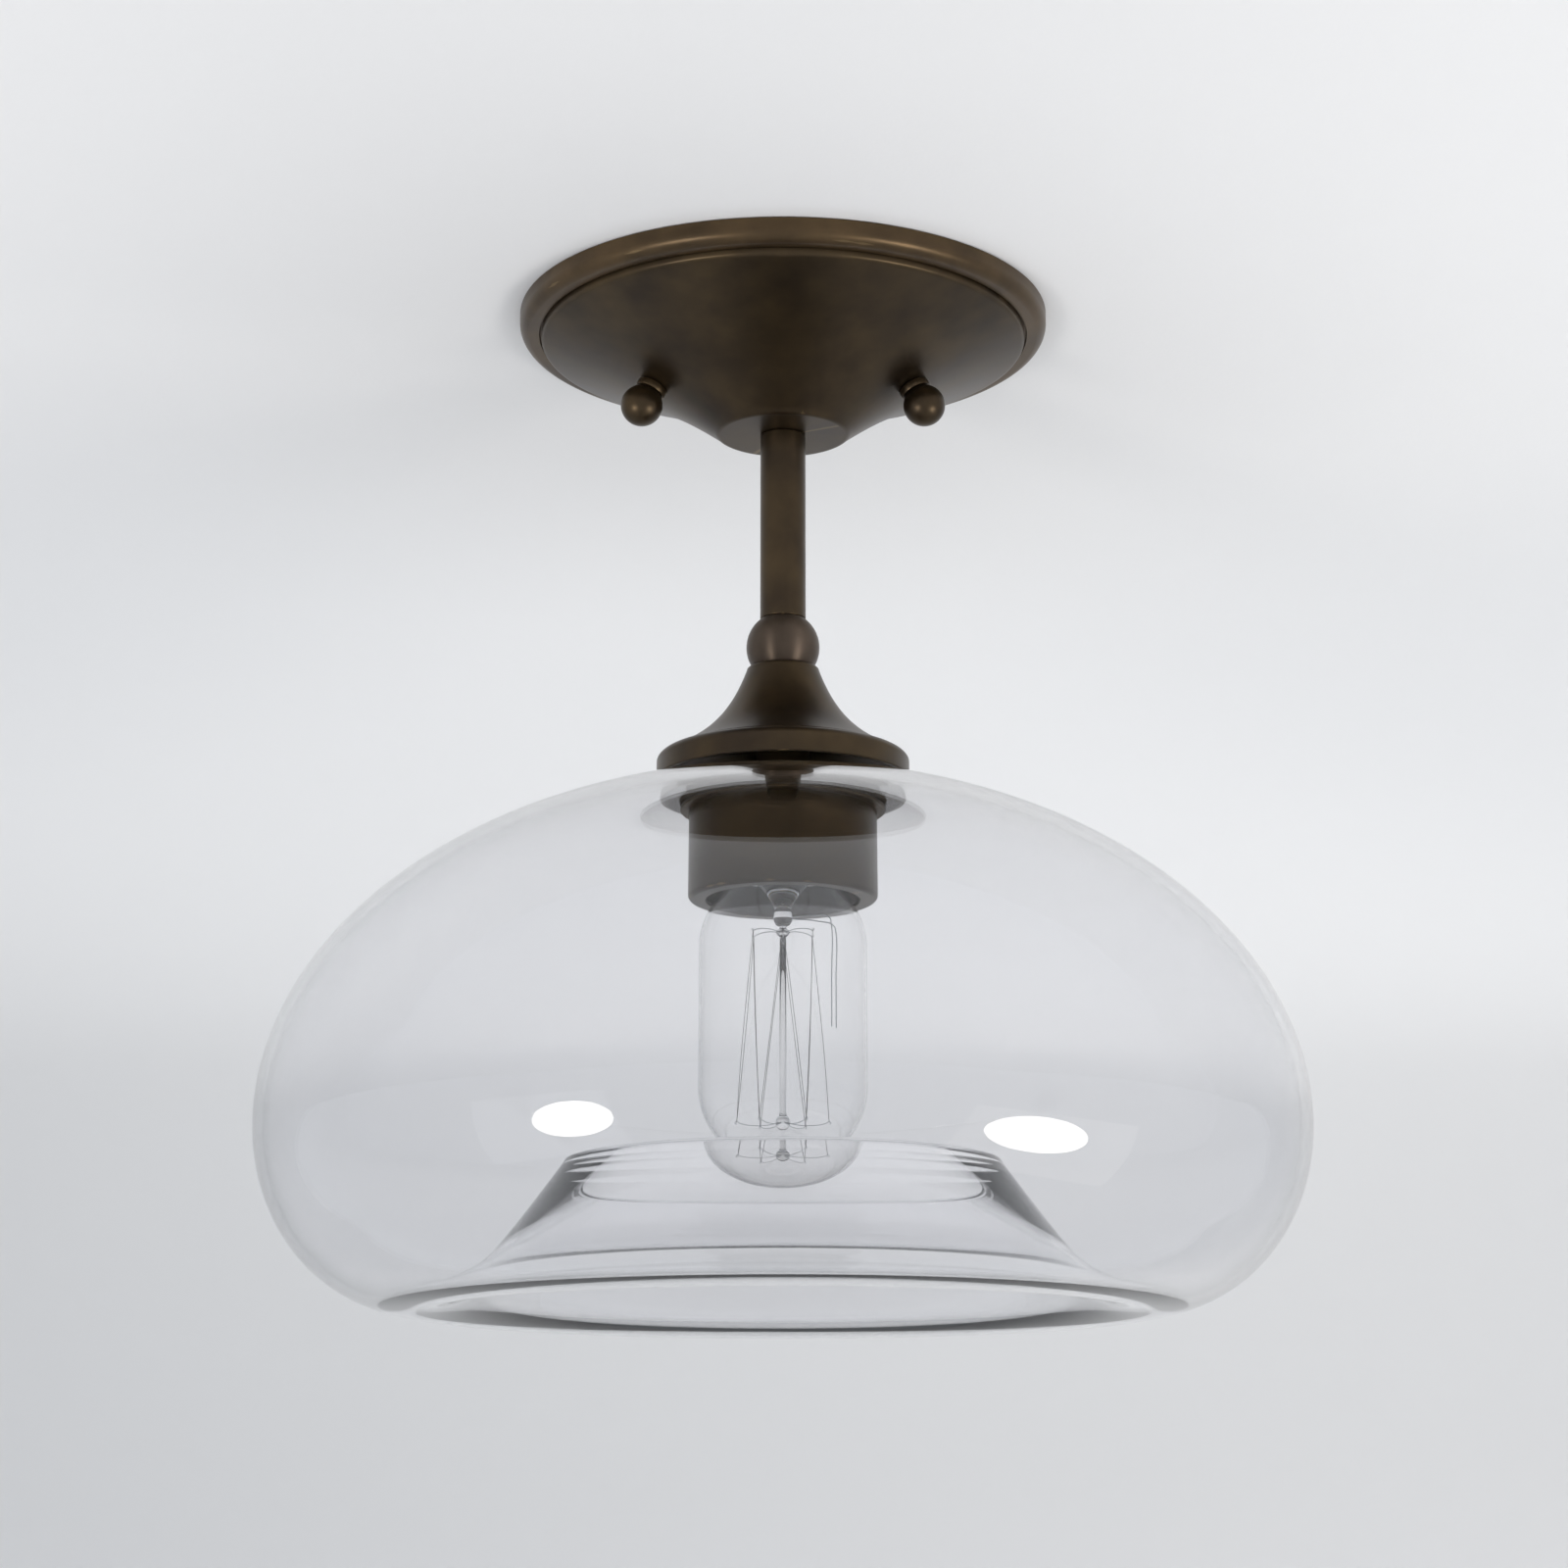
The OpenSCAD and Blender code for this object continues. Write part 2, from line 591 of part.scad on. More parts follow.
module seat_gasket() {
    r_in = gasket_r - gasket_w;
    color([0.2, 0.2, 0.2]) rotate_extrude() polygon([[r_in, z_plate], [gasket_r, z_plate],
        [gasket_r, z_plate + gasket_t],
        [r_in, z_plate + gasket_t + dome_in(r_in) - dome_in(gasket_r)]]);
}

module seat_plate() {
    pr = plate_d/2;
    e = plate_t/2;
    color(bronze) rotate_extrude($fn = 128) polygon(concat(
        [[nipple_d/2 + run_gap, z_plate - plate_t], [nipple_d/2 + run_gap, z_plate]],
        arc([pr - e, z_plate - e], e, e, 90, -90, 8)));
}

module socket_cup() {
    cr = cup_d/2;
    mr = cup_mouth_d/2;
    color(bronze) rotate_extrude($fn = 128) polygon(concat(
        [[nipple_d/2 + run_gap, z_cup], [cr - 0.6, z_cup], [cr, z_cup - 0.6]],
        arc([cr - lip_r, z_mouth + lip_r], lip_r, lip_r, 0, -90, 6),
        [[mr, z_mouth], [mr, z_mouth + cup_wall], [cr - lip_r, z_mouth + cup_wall],
         [cr - cup_wall, z_mouth + lip_r],
         [cr - cup_wall, z_bridge], [nipple_d/2 + run_gap, z_bridge]]));
}

holder_r = porcelain_d/2;
screw_pcd = porcelain_d - 5.6;
screw_head_d = 4.2;
z_ring = z_bridge - bridge_t;
module at_holder_screws() {
    for (s = [0, 180]) rotate([0, 0, 90 + s]) translate([screw_pcd/2, 0, 0]) children();
}

module bridge_plate() {
    color(zinc) difference() {
        translate([0, 0, z_ring]) cylinder(r = holder_r, h = bridge_t);
        translate([0, 0, z_ring - 1]) cylinder(d = nipple_d + 2*run_gap, h = bridge_t + 2);
        at_holder_screws() translate([0, 0, z_ring - 1])
            cylinder(d = holder_screw_d + 2*run_gap, h = bridge_t + 2);
    }
}

module porcelain_ring() {
    inner = shell_d/2 + contact_t + 0.7;
    color([0.93, 0.92, 0.88]) difference() {
        translate([0, 0, z_ring - porcelain_h]) rotate_extrude() polygon([[inner + 0.8, 0],
            [holder_r - 1, 0], [holder_r, 1], [holder_r, porcelain_h], [inner, porcelain_h],
            [inner, 0.8]]);
        at_holder_screws() {
            translate([0, 0, z_ring - porcelain_h - 1])
                cylinder(d = holder_screw_d + 2*run_gap, h = porcelain_h + 2);
            translate([0, 0, z_ring - porcelain_h - 1]) cylinder(d = screw_head_d + free_gap, h = 3.2);
        }
    }
}

module holder_screws() {
    color(zinc) at_holder_screws() {
        translate([0, 0, z_ring - porcelain_h + 2.2])
            cylinder(d = holder_screw_d, h = porcelain_h - 2.2 + bridge_t);
        difference() {
            translate([0, 0, z_ring - porcelain_h + 0.4]) cylinder(d = screw_head_d, h = 1.8);
            translate([-3, -0.4, z_ring - porcelain_h]) cube([6, 0.8, 1.2]);
        }
    }
}

module insulating_disc() {
    color([0.45, 0.36, 0.26]) translate([0, 0, z_contact]) difference() {
        cylinder(r = shell_d/2 + contact_t + 0.4, h = disc_t);
        translate([0, 0, -1]) cylinder(r = 1.2, h = disc_t + 2);
    }
}

// Rolled screw shell that the cap turns in; its ribs stand clear of the cap's thread
module screw_shell() {
    top = z_contact - 2.2;
    ribs = floor((porcelain_h - 5)/lamp_pitch);
    inner = shell_d/2;
    rib = 0.45;
    path = [for (i = [0:ribs*6]) [inner + rib/2*(1 - cos(60*i)), top - i*lamp_pitch/6]];
    n = len(path) - 1;
    color(brass) rotate_extrude() polygon(concat(
        path,
        [for (i = [n:-1:0]) path[i] + [contact_t, 0]]));
    color(brass) difference() {
        translate([0, 0, top - 0.2]) cylinder(r = inner + contact_t, h = 2.4);
        translate([0, 0, top - 1]) cylinder(r = inner, h = 5);
    }
}

module centre_contact() {
    color(brass) translate([0, 0, z_contact - contact_t]) intersection() {
        cylinder(r = 11, h = contact_t);
        union() {
            cylinder(r = 4, h = contact_t);
            translate([0, -2.5, 0]) cube([11, 5, contact_t]);
        }
    }
}

// Bulb outline from neck to tip
neck_a = [cap_d/2, z_neck];
neck_b = [cap_d/2 + 3, z_neck - 3.4];
neck_c = [bulb_r, z_full + 0.37*shoulder_l];
neck_d = [bulb_r, z_full];
module bulb_glass() {
    n = 14;
    outer = concat([for (i = [0:n]) bez(neck_a, neck_b, neck_c, neck_d, i/n)],
        arc([0, z_round], bulb_r, bulb_r, 0, -90, 18));
    inner = concat([for (i = [0:n]) bez_off(neck_a, neck_b, neck_c, neck_d, i/n, -bulb_t)],
        arc([0, z_round], bulb_r - bulb_t, bulb_r - bulb_t, 0, -90, 16));
    m = len(inner) - 1;
    color(clear) rotate_extrude() polygon(concat(outer, [for (i = [m:-1:0]) inner[i]]));
}

// Rolled threads of the cap, drawn as even ribs at the thread's pitch
module bulb_cap() {
    ribs = floor(cap_l/lamp_pitch);
    root = cap_d/2 - cap_thread;
    inner = root - contact_t;
    wave = [for (i = [0:ribs*6])
        [root + cap_thread/2*(1 - cos(60*i)), z_neck + 0.6 + i*lamp_pitch/6]];
    color(brass) rotate_extrude() polygon(concat(
        [[inner, z_neck], [cap_d/2 - 0.1, z_neck], [cap_d/2 - 0.1, z_neck + 0.3]],
        wave, [[root, z_cap - 0.5], [root - 0.6, z_cap], [inner - 0.6, z_cap],
        [inner - 0.2, z_cap - 0.8], [inner, z_cap - 1.4]]));
}

module bulb_insulator() {
    r0 = cap_d/2 - 2;
    color([0.08, 0.08, 0.09]) difference() {
        translate([0, 0, z_cap]) cylinder(r1 = r0, r2 = 5.6, h = insulator_h);
        translate([0, 0, z_cap - 1]) cylinder(r = 1.5, h = insulator_h + 2);
    }
}

module bulb_tip() {
    color([0.75, 0.75, 0.76]) translate([0, 0, z_cap + insulator_h]) rotate_extrude()
        polygon(concat([[0, 0]], arc([0, 0], 4.6, tip_h, 0, 90, 8)));
}

module bulb_mount() {
    flare_r = cap_d/2 - bulb_t - 0.4;
    color(clear) rotate_extrude() polygon([[0, z_neck - 0.4], [flare_r, z_neck - 0.4],
        [flare_r, z_neck - 1.2], [7, z_neck - 4], [4.6, z_neck - 7.5], [3, z_neck - 9.6],
        [2.2, z_mount + 4.4], [2.6, z_mount + 3.4], [2.7, z_mount + 1.8], [1.9, z_mount + 0.3],
        [1.4, z_mount], [0, z_mount]]);
}

hook_r = 0.2;
module hook_ring(z, r, offset_a) {
    for (i = [0:strands/2 - 1]) rotate([0, 0, offset_a + i*720/strands]) translate([0.9, 0, z])
        rotate([0, 90, 0]) cylinder(r = hook_r, h = r - 1.3, $fn = 16);
}
module bulb_supports() {
    color([0.6, 0.62, 0.63]) {
        translate([0, 0, z_low_hooks]) cylinder(r = 1, h = z_mount - z_low_hooks, $fn = 24);
        translate([0, 0, z_low_hooks]) sphere(r = 2.2, $fn = 32);
        hook_ring(z_hooks, cage_top_r, 360/strands);
        hook_ring(z_low_hooks, cage_low_r, 0);
    }
}

// The two strands that end the filament stand clear of the last hook
module bulb_leads() {
    color([0.55, 0.55, 0.56]) for (k = [0, 1]) {
        x = cage_low_r + 1 + 1.3*k;
        y = 2*k - 1;
        tube(smooth([[2.9, 1.1*y, z_mount + 2.4], [x - 2, 1.1*y, z_mount + 3.2 - 2*k],
            [x, 1.1*y, z_mount + 1.5 - 2*k], [x, 1.1*y, z_hooks - cage_l/2]], 4), 0.25, 8);
    }
}

// One straight strand with a round end at each hook
module strand(a, b) {
    d = b - a;
    translate(a) rotate([0, acos(d[2]/norm(d)), atan2(d[1], d[0])])
        cylinder(d = filament_d, h = norm(d), $fn = 16);
    translate(b) sphere(d = filament_d + 0.04, $fn = 16);
}

module filament() {
    p = [for (i = [0:strands - 1]) let (a = i*360/strands)
        i % 2 ? [(cage_top_r + 0.2)*cos(a), (cage_top_r + 0.2)*sin(a), z_hooks]
           : [(cage_low_r + 0.2)*cos(a), (cage_low_r + 0.2)*sin(a), z_low_hooks]];
    color([0.5, 0.45, 0.4]) for (i = [1:strands - 1]) strand(p[i - 1], p[i]);
}

lead_r = lead_d/2;
lead_x = nipple_bore_d/2 - lead_r - free_gap;
z_leads = z_dish + sheet + washer_t + nut_h + 4;
// Centre line of the wire connectors, and how far the leads reach into them
connector_y = 26;
connector_z = -10;
connector_step = 13;
bore_l = 8;
module lead(side, c) {
    color(c) tube(concat([[side*lead_x, 0, z_bridge - bridge_t + 2]],
        smooth([[side*lead_x, 0, z_leads - 4], [side*lead_x, 0, z_leads + 1],
        [side*5, 12, connector_z - 6], [side*connector_step, connector_y - 8, connector_z],
        [side*connector_step, connector_y + bore_l - 2, connector_z]], 4)), lead_r, 8);
}
module hot_lead() { lead(1, [0.08, 0.08, 0.08]); }
module neutral_lead() { lead(-1, [0.9, 0.9, 0.88]); }

ground_head_r = 4.4;
module ground_lead() {
    z = z_bracket - bracket_t - lead_r - free_gap;
    color([0.1, 0.45, 0.2]) tube(smooth([[ground_x, ground_y + ground_head_r + free_gap, z],
        [ground_x - 1, connector_y - 6, z - 1], [4, connector_y - 7, z - 2.4],
        [0, connector_y - 6.5, connector_z], [0, connector_y + bore_l - 2, connector_z]], 5),
        lead_r, 8);
}

module wire_connectors() {
    color([0.85, 0.5, 0.12]) for (x = [-connector_step, 0, connector_step])
        translate([x, connector_y, connector_z]) rotate([-90, 0, 0]) difference() {
            cylinder(d1 = connector_d, d2 = connector_d*0.62, h = connector_l);
            translate([0, 0, -1]) cylinder(d = lead_d + 2*run_gap, h = bore_l + 1);
        }
}

box_strap();
canopy_bracket();
swivel_rivet();
ground_screw();
trim_ring();
canopy_dish();
left_keeper();
right_keeper();
left_ball_screw();
right_ball_screw();
canopy_nipple();
canopy_washer();
canopy_nut();
stem_tube();
ball_coupling();
bell_cap();
bell_spacer();
stepped_collar();
lower_nipple();
glass_shade();
seat_gasket();
seat_plate();
socket_cup();
bridge_plate();
porcelain_ring();
holder_screws();
insulating_disc();
screw_shell();
centre_contact();
bulb_glass();
bulb_cap();
bulb_insulator();
bulb_tip();
bulb_mount();
bulb_supports();
bulb_leads();
filament();
hot_lead();
neutral_lead();
ground_lead();
wire_connectors();
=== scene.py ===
import math
import bpy
import bmesh
from mathutils import Matrix, Vector


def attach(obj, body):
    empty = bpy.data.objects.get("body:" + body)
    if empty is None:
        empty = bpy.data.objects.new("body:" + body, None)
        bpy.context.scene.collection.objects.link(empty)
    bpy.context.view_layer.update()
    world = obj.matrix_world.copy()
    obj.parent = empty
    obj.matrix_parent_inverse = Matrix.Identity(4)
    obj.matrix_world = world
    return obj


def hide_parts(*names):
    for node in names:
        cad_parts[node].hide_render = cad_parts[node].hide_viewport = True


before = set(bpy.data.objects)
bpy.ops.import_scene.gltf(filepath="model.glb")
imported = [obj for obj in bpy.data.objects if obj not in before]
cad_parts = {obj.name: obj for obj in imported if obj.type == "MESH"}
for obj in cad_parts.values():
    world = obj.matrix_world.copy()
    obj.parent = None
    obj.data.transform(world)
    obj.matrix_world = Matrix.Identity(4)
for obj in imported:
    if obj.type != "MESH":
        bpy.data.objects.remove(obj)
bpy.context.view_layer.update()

mm = 0.001        # a millimetre in Blender's metres
perMetre = 1000   # a pattern's scale is this over its real size in mm
shot = bpy.context.scene
shot.view_settings.view_transform = "Standard"

# the viewer stands below the light and looks up at it
cameraSet = {"place": (0.0003, -0.89565, -0.34926), "lookUp": 13.233, "lens": 75, "sensor": 36}
cameraData = bpy.data.cameras.new("camera")
cameraData.lens = cameraSet["lens"]
cameraData.sensor_width = cameraSet["sensor"]
camera = bpy.data.objects.new("camera", cameraData)
camera.location = cameraSet["place"]
camera.rotation_euler = (math.radians(90 + cameraSet["lookUp"]), 0, 0)
shot.collection.objects.link(camera)
shot.camera = camera
print("camera set")


def linear(hexColour):
    # sRGB hex to the linear colour that the shader reads
    parts = [int(hexColour[i:i + 2], 16) / 255 for i in (1, 3, 5)]
    return [p / 12.92 if p <= 0.04045 else ((p + 0.055) / 1.055) ** 2.4 for p in parts] + [1]


def addNode(tree, kind, values=None, links=None, **settings):
    node = tree.nodes.new(kind)
    for key, value in settings.items():
        setattr(node, key, value)
    for key, value in (values or {}).items():
        node.inputs[key].default_value = value
    for key, source in (links or {}).items():
        tree.links.new(source, node.inputs[key])
    return node


def startMaterial(name, values=None):
    # a new material with its nodes, its shader and the place on the object, in metres
    material = bpy.data.materials.new(name)
    material.use_nodes = True
    tree = material.node_tree
    shader = tree.nodes["Principled BSDF"]
    for key, value in (values or {}).items():
        shader.inputs[key].default_value = value
    return material, tree, shader, addNode(tree, "ShaderNodeTexCoord").outputs["Object"]


def addGrain(tree, shader, spot, sizeMm, depthMm, strength, detail):
    # relief of a real size and depth; its pattern comes back for colour and gloss
    grain = addNode(tree, "ShaderNodeTexNoise", {"Scale": perMetre / sizeMm, "Detail": detail},
                    {"Vector": spot})
    bump = addNode(tree, "ShaderNodeBump", {"Strength": strength, "Distance": depthMm * mm},
                   {"Height": grain.outputs["Fac"]})
    tree.links.new(bump.outputs["Normal"], shader.inputs["Normal"])
    return grain.outputs["Fac"]


def addDrift(tree, shader, pattern, colours, roughness):
    # gloss and colour drift together between two values; the colour's node comes back
    gloss = addNode(tree, "ShaderNodeMapRange", {"To Min": roughness[0], "To Max": roughness[1]},
                    {"Value": pattern})
    tree.links.new(gloss.outputs["Result"], shader.inputs["Roughness"])
    drift = addNode(tree, "ShaderNodeValToRGB", links={"Fac": pattern})
    for stop, colour in zip(drift.color_ramp.elements, colours):
        stop.color = linear(colour)
    return drift


# oil-rubbed bronze: a brown lacquer sprayed over steel or brass; its edges are painted lighter, partly as rubbed
# wear and partly as a painted highlight along each edge
bronzeLook = {"metallic": 0.8, "cloudMm": 18, "cloudDetail": 4.0, "cloudStops": (0.3, 0.7), "edgeWearAndHighlight": "#8a7452",
              "edgeWearAndHighlightFrom": 0.52, "edgeWearAndHighlightTo": 0.62, "edgeWearAndHighlightMost": 0.45, "depthMm": 0.012, "detail": 3.0}
bronzeTones = {
    # sprayed on spun steel and on turned brass: a deep satin brown that clouds softly
    "oilRubbedBronze": {"colours": ("#352b20", "#4e402c"), "roughness": (0.32, 0.4),
                        "grainMm": 0.35, "stretch": 1, "strength": 0.35},
    # the same lacquer on the rolled ring, painted warmer and lighter as a lit copy: painted light where the ring
    # takes the light first
    "litCopyRingBronze": {"colours": ("#453828", "#5f4d36"), "roughness": (0.32, 0.4),
                         "grainMm": 0.35, "stretch": 1, "strength": 0.35},
    # the same lacquer on the drawn cup, painted almost black as a shaded copy: painted shade under the seat plate
    # and beside the glass
    "shadedCopyCupBronze": {"colours": ("#271e14", "#3b2f1f"), "roughness": (0.32, 0.4),
                      "grainMm": 0.35, "stretch": 1, "strength": 0.35},
    # brushed round the axis of the turned ball: greyer, with each light drawn out into an upright band;
    # the real lines are far finer, and are drawn this wide so that they show
    "brushedBronze": {"colours": ("#453b31", "#62554a"), "roughness": (0.4, 0.48),
                      "grainMm": 4.0, "stretch": 14, "strength": 0.5, "drawnOut": 0.85, "quarterTurn": 0.25}}


def makeBronze(name):
    look, tone = bronzeLook, bronzeTones[name]
    material, tree, shader, spot = startMaterial(name, {"Metallic": look["metallic"]})
    cloud = addNode(tree, "ShaderNodeTexNoise",
                    {"Scale": perMetre / look["cloudMm"], "Detail": look["cloudDetail"]}, {"Vector": spot})
    base = addDrift(tree, shader, cloud.outputs["Fac"], tone["colours"], tone["roughness"])
    for stop, position in zip(base.color_ramp.elements, look["cloudStops"]):
        stop.position = position
    # Pointiness paints the edges lighter: part rubbed wear, part a painted highlight standing in for the line of
    # light on each edge
    edge = addNode(tree, "ShaderNodeNewGeometry")
    edgeWearAndHighlightMask = addNode(tree, "ShaderNodeMapRange",
                     {"From Min": look["edgeWearAndHighlightFrom"], "From Max": look["edgeWearAndHighlightTo"], "To Max": look["edgeWearAndHighlightMost"]},
                     {"Value": edge.outputs["Pointiness"]})
    # sockets 6 and 7 are the two colours of the mix, and its output 2 is the mixed one
    mix = addNode(tree, "ShaderNodeMix", {7: linear(look["edgeWearAndHighlight"])},
                  {"Factor": edgeWearAndHighlightMask.outputs["Result"], 6: base.outputs["Color"]}, data_type="RGBA")
    tree.links.new(mix.outputs[2], shader.inputs["Base Color"])
    drawn = addNode(tree, "ShaderNodeMapping", {"Scale": (1, 1, tone["stretch"])}, {"Vector": spot})
    addGrain(tree, shader, drawn.outputs["Vector"], tone["grainMm"], look["depthMm"], tone["strength"],
             look["detail"])
    if "drawnOut" in tone:
        shader.inputs["Anisotropic"].default_value = tone["drawnOut"]
        shader.inputs["Anisotropic Rotation"].default_value = tone["quarterTurn"]
        brushLine = addNode(tree, "ShaderNodeTangent", direction_type="RADIAL", axis="Z")
        tree.links.new(brushLine.outputs["Tangent"], shader.inputs["Tangent"])
    return material


mottledLooks = {
    # each: two colours, roughness range, pattern size in mm, its depth in mm, metallic
    # bright zinc electroplated on stamped steel: a cool grey half gloss, faintly cloudy
    "zincPlate": (("#c9ccd0", "#b3b8bf"), (0.24, 0.38), 6.0, 0.01, 1.0),
    # brass, rolled and drawn: warm yellow with soft darker streaks
    "rolledBrass": (("#d8b46a", "#b8924c"), (0.22, 0.36), 5.0, 0.01, 1.0),
    # zinc plate dyed green on a cold-headed screw: a dull metallic green that marks the ground
    "greenScrew": (("#2f7a3c", "#256232"), (0.3, 0.45), 3.0, 0.01, 0.8),
    # nickel-plated iron, drawn to wire: thin pale grey lines
    "supportWire": (("#b9bcc0", "#9a9da2"), (0.25, 0.4), 2.0, 0.01, 1.0),
    # drawn tungsten, unlit: a dark warm grey that reads as a hair line
    "tungsten": (("#4c4540", "#3a3430"), (0.35, 0.5), 1.0, 0.01, 0.9),
    # cast solder: light grey and slightly dull, as it cooled
    "solder": (("#c4c5c7", "#a9abae"), (0.3, 0.5), 2.0, 0.01, 1.0),
    # glazed and fired porcelain: a warm white with a wet gloss
    "glazedPorcelain": (("#f0eee6", "#e4e1d6"), (0.1, 0.2), 4.0, 0.01, 0.0),
    # pressed paper board: matt brown, with its fibres just showing
    "pressedPaper": (("#8a7458", "#6f5b43"), (0.8, 0.95), 0.6, 0.03, 0.0),
    # moulded black glass under the bulb's tip: near black and shiny
    "blackGlass": (("#111113", "#1a1a1d"), (0.08, 0.16), 3.0, 0.005, 0.0),
    # moulded silicone rubber: a soft dark grey without shine
    "siliconeRubber": (("#3a3b3c", "#2e2f30"), (0.55, 0.7), 0.8, 0.01, 0.0),
    # PVC extruded over wire, in three colours: smooth, with a soft long highlight
    "blackPvc": (("#17171a", "#202024"), (0.35, 0.45), 1.5, 0.01, 0.0),
    "whitePvc": (("#e8e8e4", "#dcdcd6"), (0.35, 0.45), 1.5, 0.01, 0.0),
    "greenPvc": (("#1f7a3a", "#176630"), (0.35, 0.45), 1.5, 0.01, 0.0),
    # moulded orange nylon: even, with a fine satin texture
    "orangeNylon": (("#d9822b", "#c87322"), (0.45, 0.6), 1.2, 0.02, 0.0)}
metalRelief = {"strength": 0.2, "detail": 5.0}
plainRelief = {"strength": 0.3, "detail": 4.0}


def makeMottled(name):
    colours, roughness, sizeMm, depthMm, metallic = mottledLooks[name]
    relief = metalRelief if metallic else plainRelief
    material, tree, shader, spot = startMaterial(name, {"Metallic": metallic})
    mottle = addGrain(tree, shader, spot, sizeMm, depthMm, **relief)
    base = addDrift(tree, shader, mottle, colours, roughness)
    tree.links.new(base.outputs["Color"], shader.inputs["Base Color"])
    return material


glassLooks = {
    # clear soda-lime glass, blown and fire-polished: no colour, and a long ripple that bends the highlights
    "blownGlass": {"tint": "#f8f8f9", "ior": 1.5, "rippleMm": 60, "depthMm": 0.02},
    # thin clear glass, blown by machine: quite colourless, with a shorter ripple
    "bulbGlass": {"tint": "#ffffff", "ior": 1.5, "rippleMm": 25, "depthMm": 0.01}}
glassRelief = {"strength": 0.3, "detail": 1.0}


def makeGlass(name):
    look = glassLooks[name]
    material, tree, shader, spot = startMaterial(name, {
        "Base Color": linear(look["tint"]), "Roughness": 0.0, "IOR": look["ior"], "Transmission Weight": 1.0})
    addGrain(tree, shader, spot, look["rippleMm"], look["depthMm"], **glassRelief)
    return material


finish = {name: makeBronze(name) for name in bronzeTones}
finish.update({name: makeMottled(name) for name in mottledLooks})
finish.update({name: makeGlass(name) for name in glassLooks})
print("materials made")


def at(x, z, points):
    # a list of (radius, height) points that is given from one of its corners
    return [(x + px, z + pz) for px, pz in points]


def curve(a, b, c, d, count):
    # points along a cubic curve, ends included
    out = []
    for i in range(count + 1):
        t = i / count
        out.append(tuple(a[k] * (1 - t) ** 3 + 3 * b[k] * t * (1 - t) ** 2
                         + 3 * c[k] * t * t * (1 - t) + d[k] * t ** 3 for k in (0, 1)))
    return out


def arc(centre, rx, ry, first, last, count):
    # points along part of an ellipse, with its angles in degrees
    out = []
    for i in range(count + 1):
        a = math.radians(first + (last - first) * i / count)
        out.append((centre[0] + rx * math.cos(a), centre[1] + ry * math.sin(a)))
    return out


def beside(path, distance):
    # the same path moved sideways, to the left of its direction
    out = []
    for i, (x, y) in enumerate(path):
        before, after = path[max(i - 1, 0)], path[min(i + 1, len(path) - 1)]
        dx, dy = after[0] - before[0], after[1] - before[1]
        size = math.hypot(dx, dy)
        out.append((x - distance * dy / size, y + distance * dx / size))
    return out


def around(steps):
    return [2 * math.pi * k / steps for k in range(steps)]


def skin(shape, rings, steps):
    # faces from each ring of points to the next; a ring of one point is closed by a fan
    for ring, following in zip(rings, rings[1:]):
        for k in range(steps):
            m = (k + 1) % steps
            corners = [ring[k % len(ring)], ring[m % len(ring)],
                       following[m % len(following)], following[k % len(following)]]
            corners = list(dict.fromkeys(corners))
            if len(corners) > 2:
                shape.faces.new(corners)


def makeObject(name, shape):
    for face in shape.faces:
        face.smooth = True
    mesh = bpy.data.meshes.new(name)
    shape.to_mesh(mesh)
    shape.free()
    piece = bpy.data.objects.new(name, mesh)
    shot.collection.objects.link(piece)
    return piece


hardAngle = 32    # edges sharper than this, in degrees, stay crisp


def makeSolid(name, shape, sharpAngle=hardAngle):
    bmesh.ops.recalc_face_normals(shape, faces=shape.faces)
    piece = makeObject(name, shape)
    piece.data.set_sharp_from_angle(angle=math.radians(sharpAngle))
    return piece


def turned(name, outline, steps=192, sharpAngle=hardAngle):
    # spins a closed outline of (radius, height) points in mm about the vertical axis
    points = []
    for point in outline:
        if not points or math.dist(point, points[-1]) > 1e-4:
            points.append(point)
    if math.dist(points[0], points[-1]) < 1e-4:
        points.pop()
    shape = bmesh.new()
    rings = []
    for radius, height in points:
        if radius < 1e-6:
            rings.append([shape.verts.new((0, 0, height * mm))])
        else:
            rings.append([shape.verts.new((radius * math.cos(a) * mm, radius * math.sin(a) * mm, height * mm))
                          for a in around(steps)])
    skin(shape, rings + rings[:1], steps)
    return makeSolid(name, shape, sharpAngle)


def threaded(name, root, crest, pitch, low, high, steps, rows):
    # a screw thread that really climbs, with flat ends and a short fade at both
    shape = bmesh.new()
    count = max(8, round((high - low) / pitch * rows))
    fadeL = 0.7 * pitch
    rings = []
    for i in range(count + 1):
        z = low + (high - low) * i / count
        fade = min(1, (z - low) / fadeL, (high - z) / fadeL)
        ring = []
        for a in around(steps):
            wave = 0.5 - 0.5 * math.cos(2 * math.pi * (z - low) / pitch - a)
            radius = root + (crest - root) * wave * max(0, fade)
            ring.append(shape.verts.new((radius * math.cos(a) * mm, radius * math.sin(a) * mm, z * mm)))
        rings.append(ring)
    skin(shape, rings, steps)
    shape.faces.new(rings[0])
    shape.faces.new(rings[-1])
    return makeSolid(name, shape, sharpAngle=50)


def soften(piece, width):
    # a small rounding on every hard edge, which catches a thin line of light
    edge = piece.modifiers.new("rounded edges", "BEVEL")
    edge.width = width * mm
    edge.segments = 2
    edge.limit_method = "ANGLE"
    edge.angle_limit = math.radians(hardAngle)


def cutAway(piece, tool):
    # takes the tool's shape out of the piece, and the tool out of the scene
    cut = piece.modifiers.new("cut", "BOOLEAN")
    cut.object = tool
    cut.solver = "EXACT"
    bpy.context.view_layer.update()
    result = bpy.data.meshes.new_from_object(piece.evaluated_get(bpy.context.evaluated_depsgraph_get()))
    piece.modifiers.clear()
    piece.data = result
    bpy.data.objects.remove(tool)


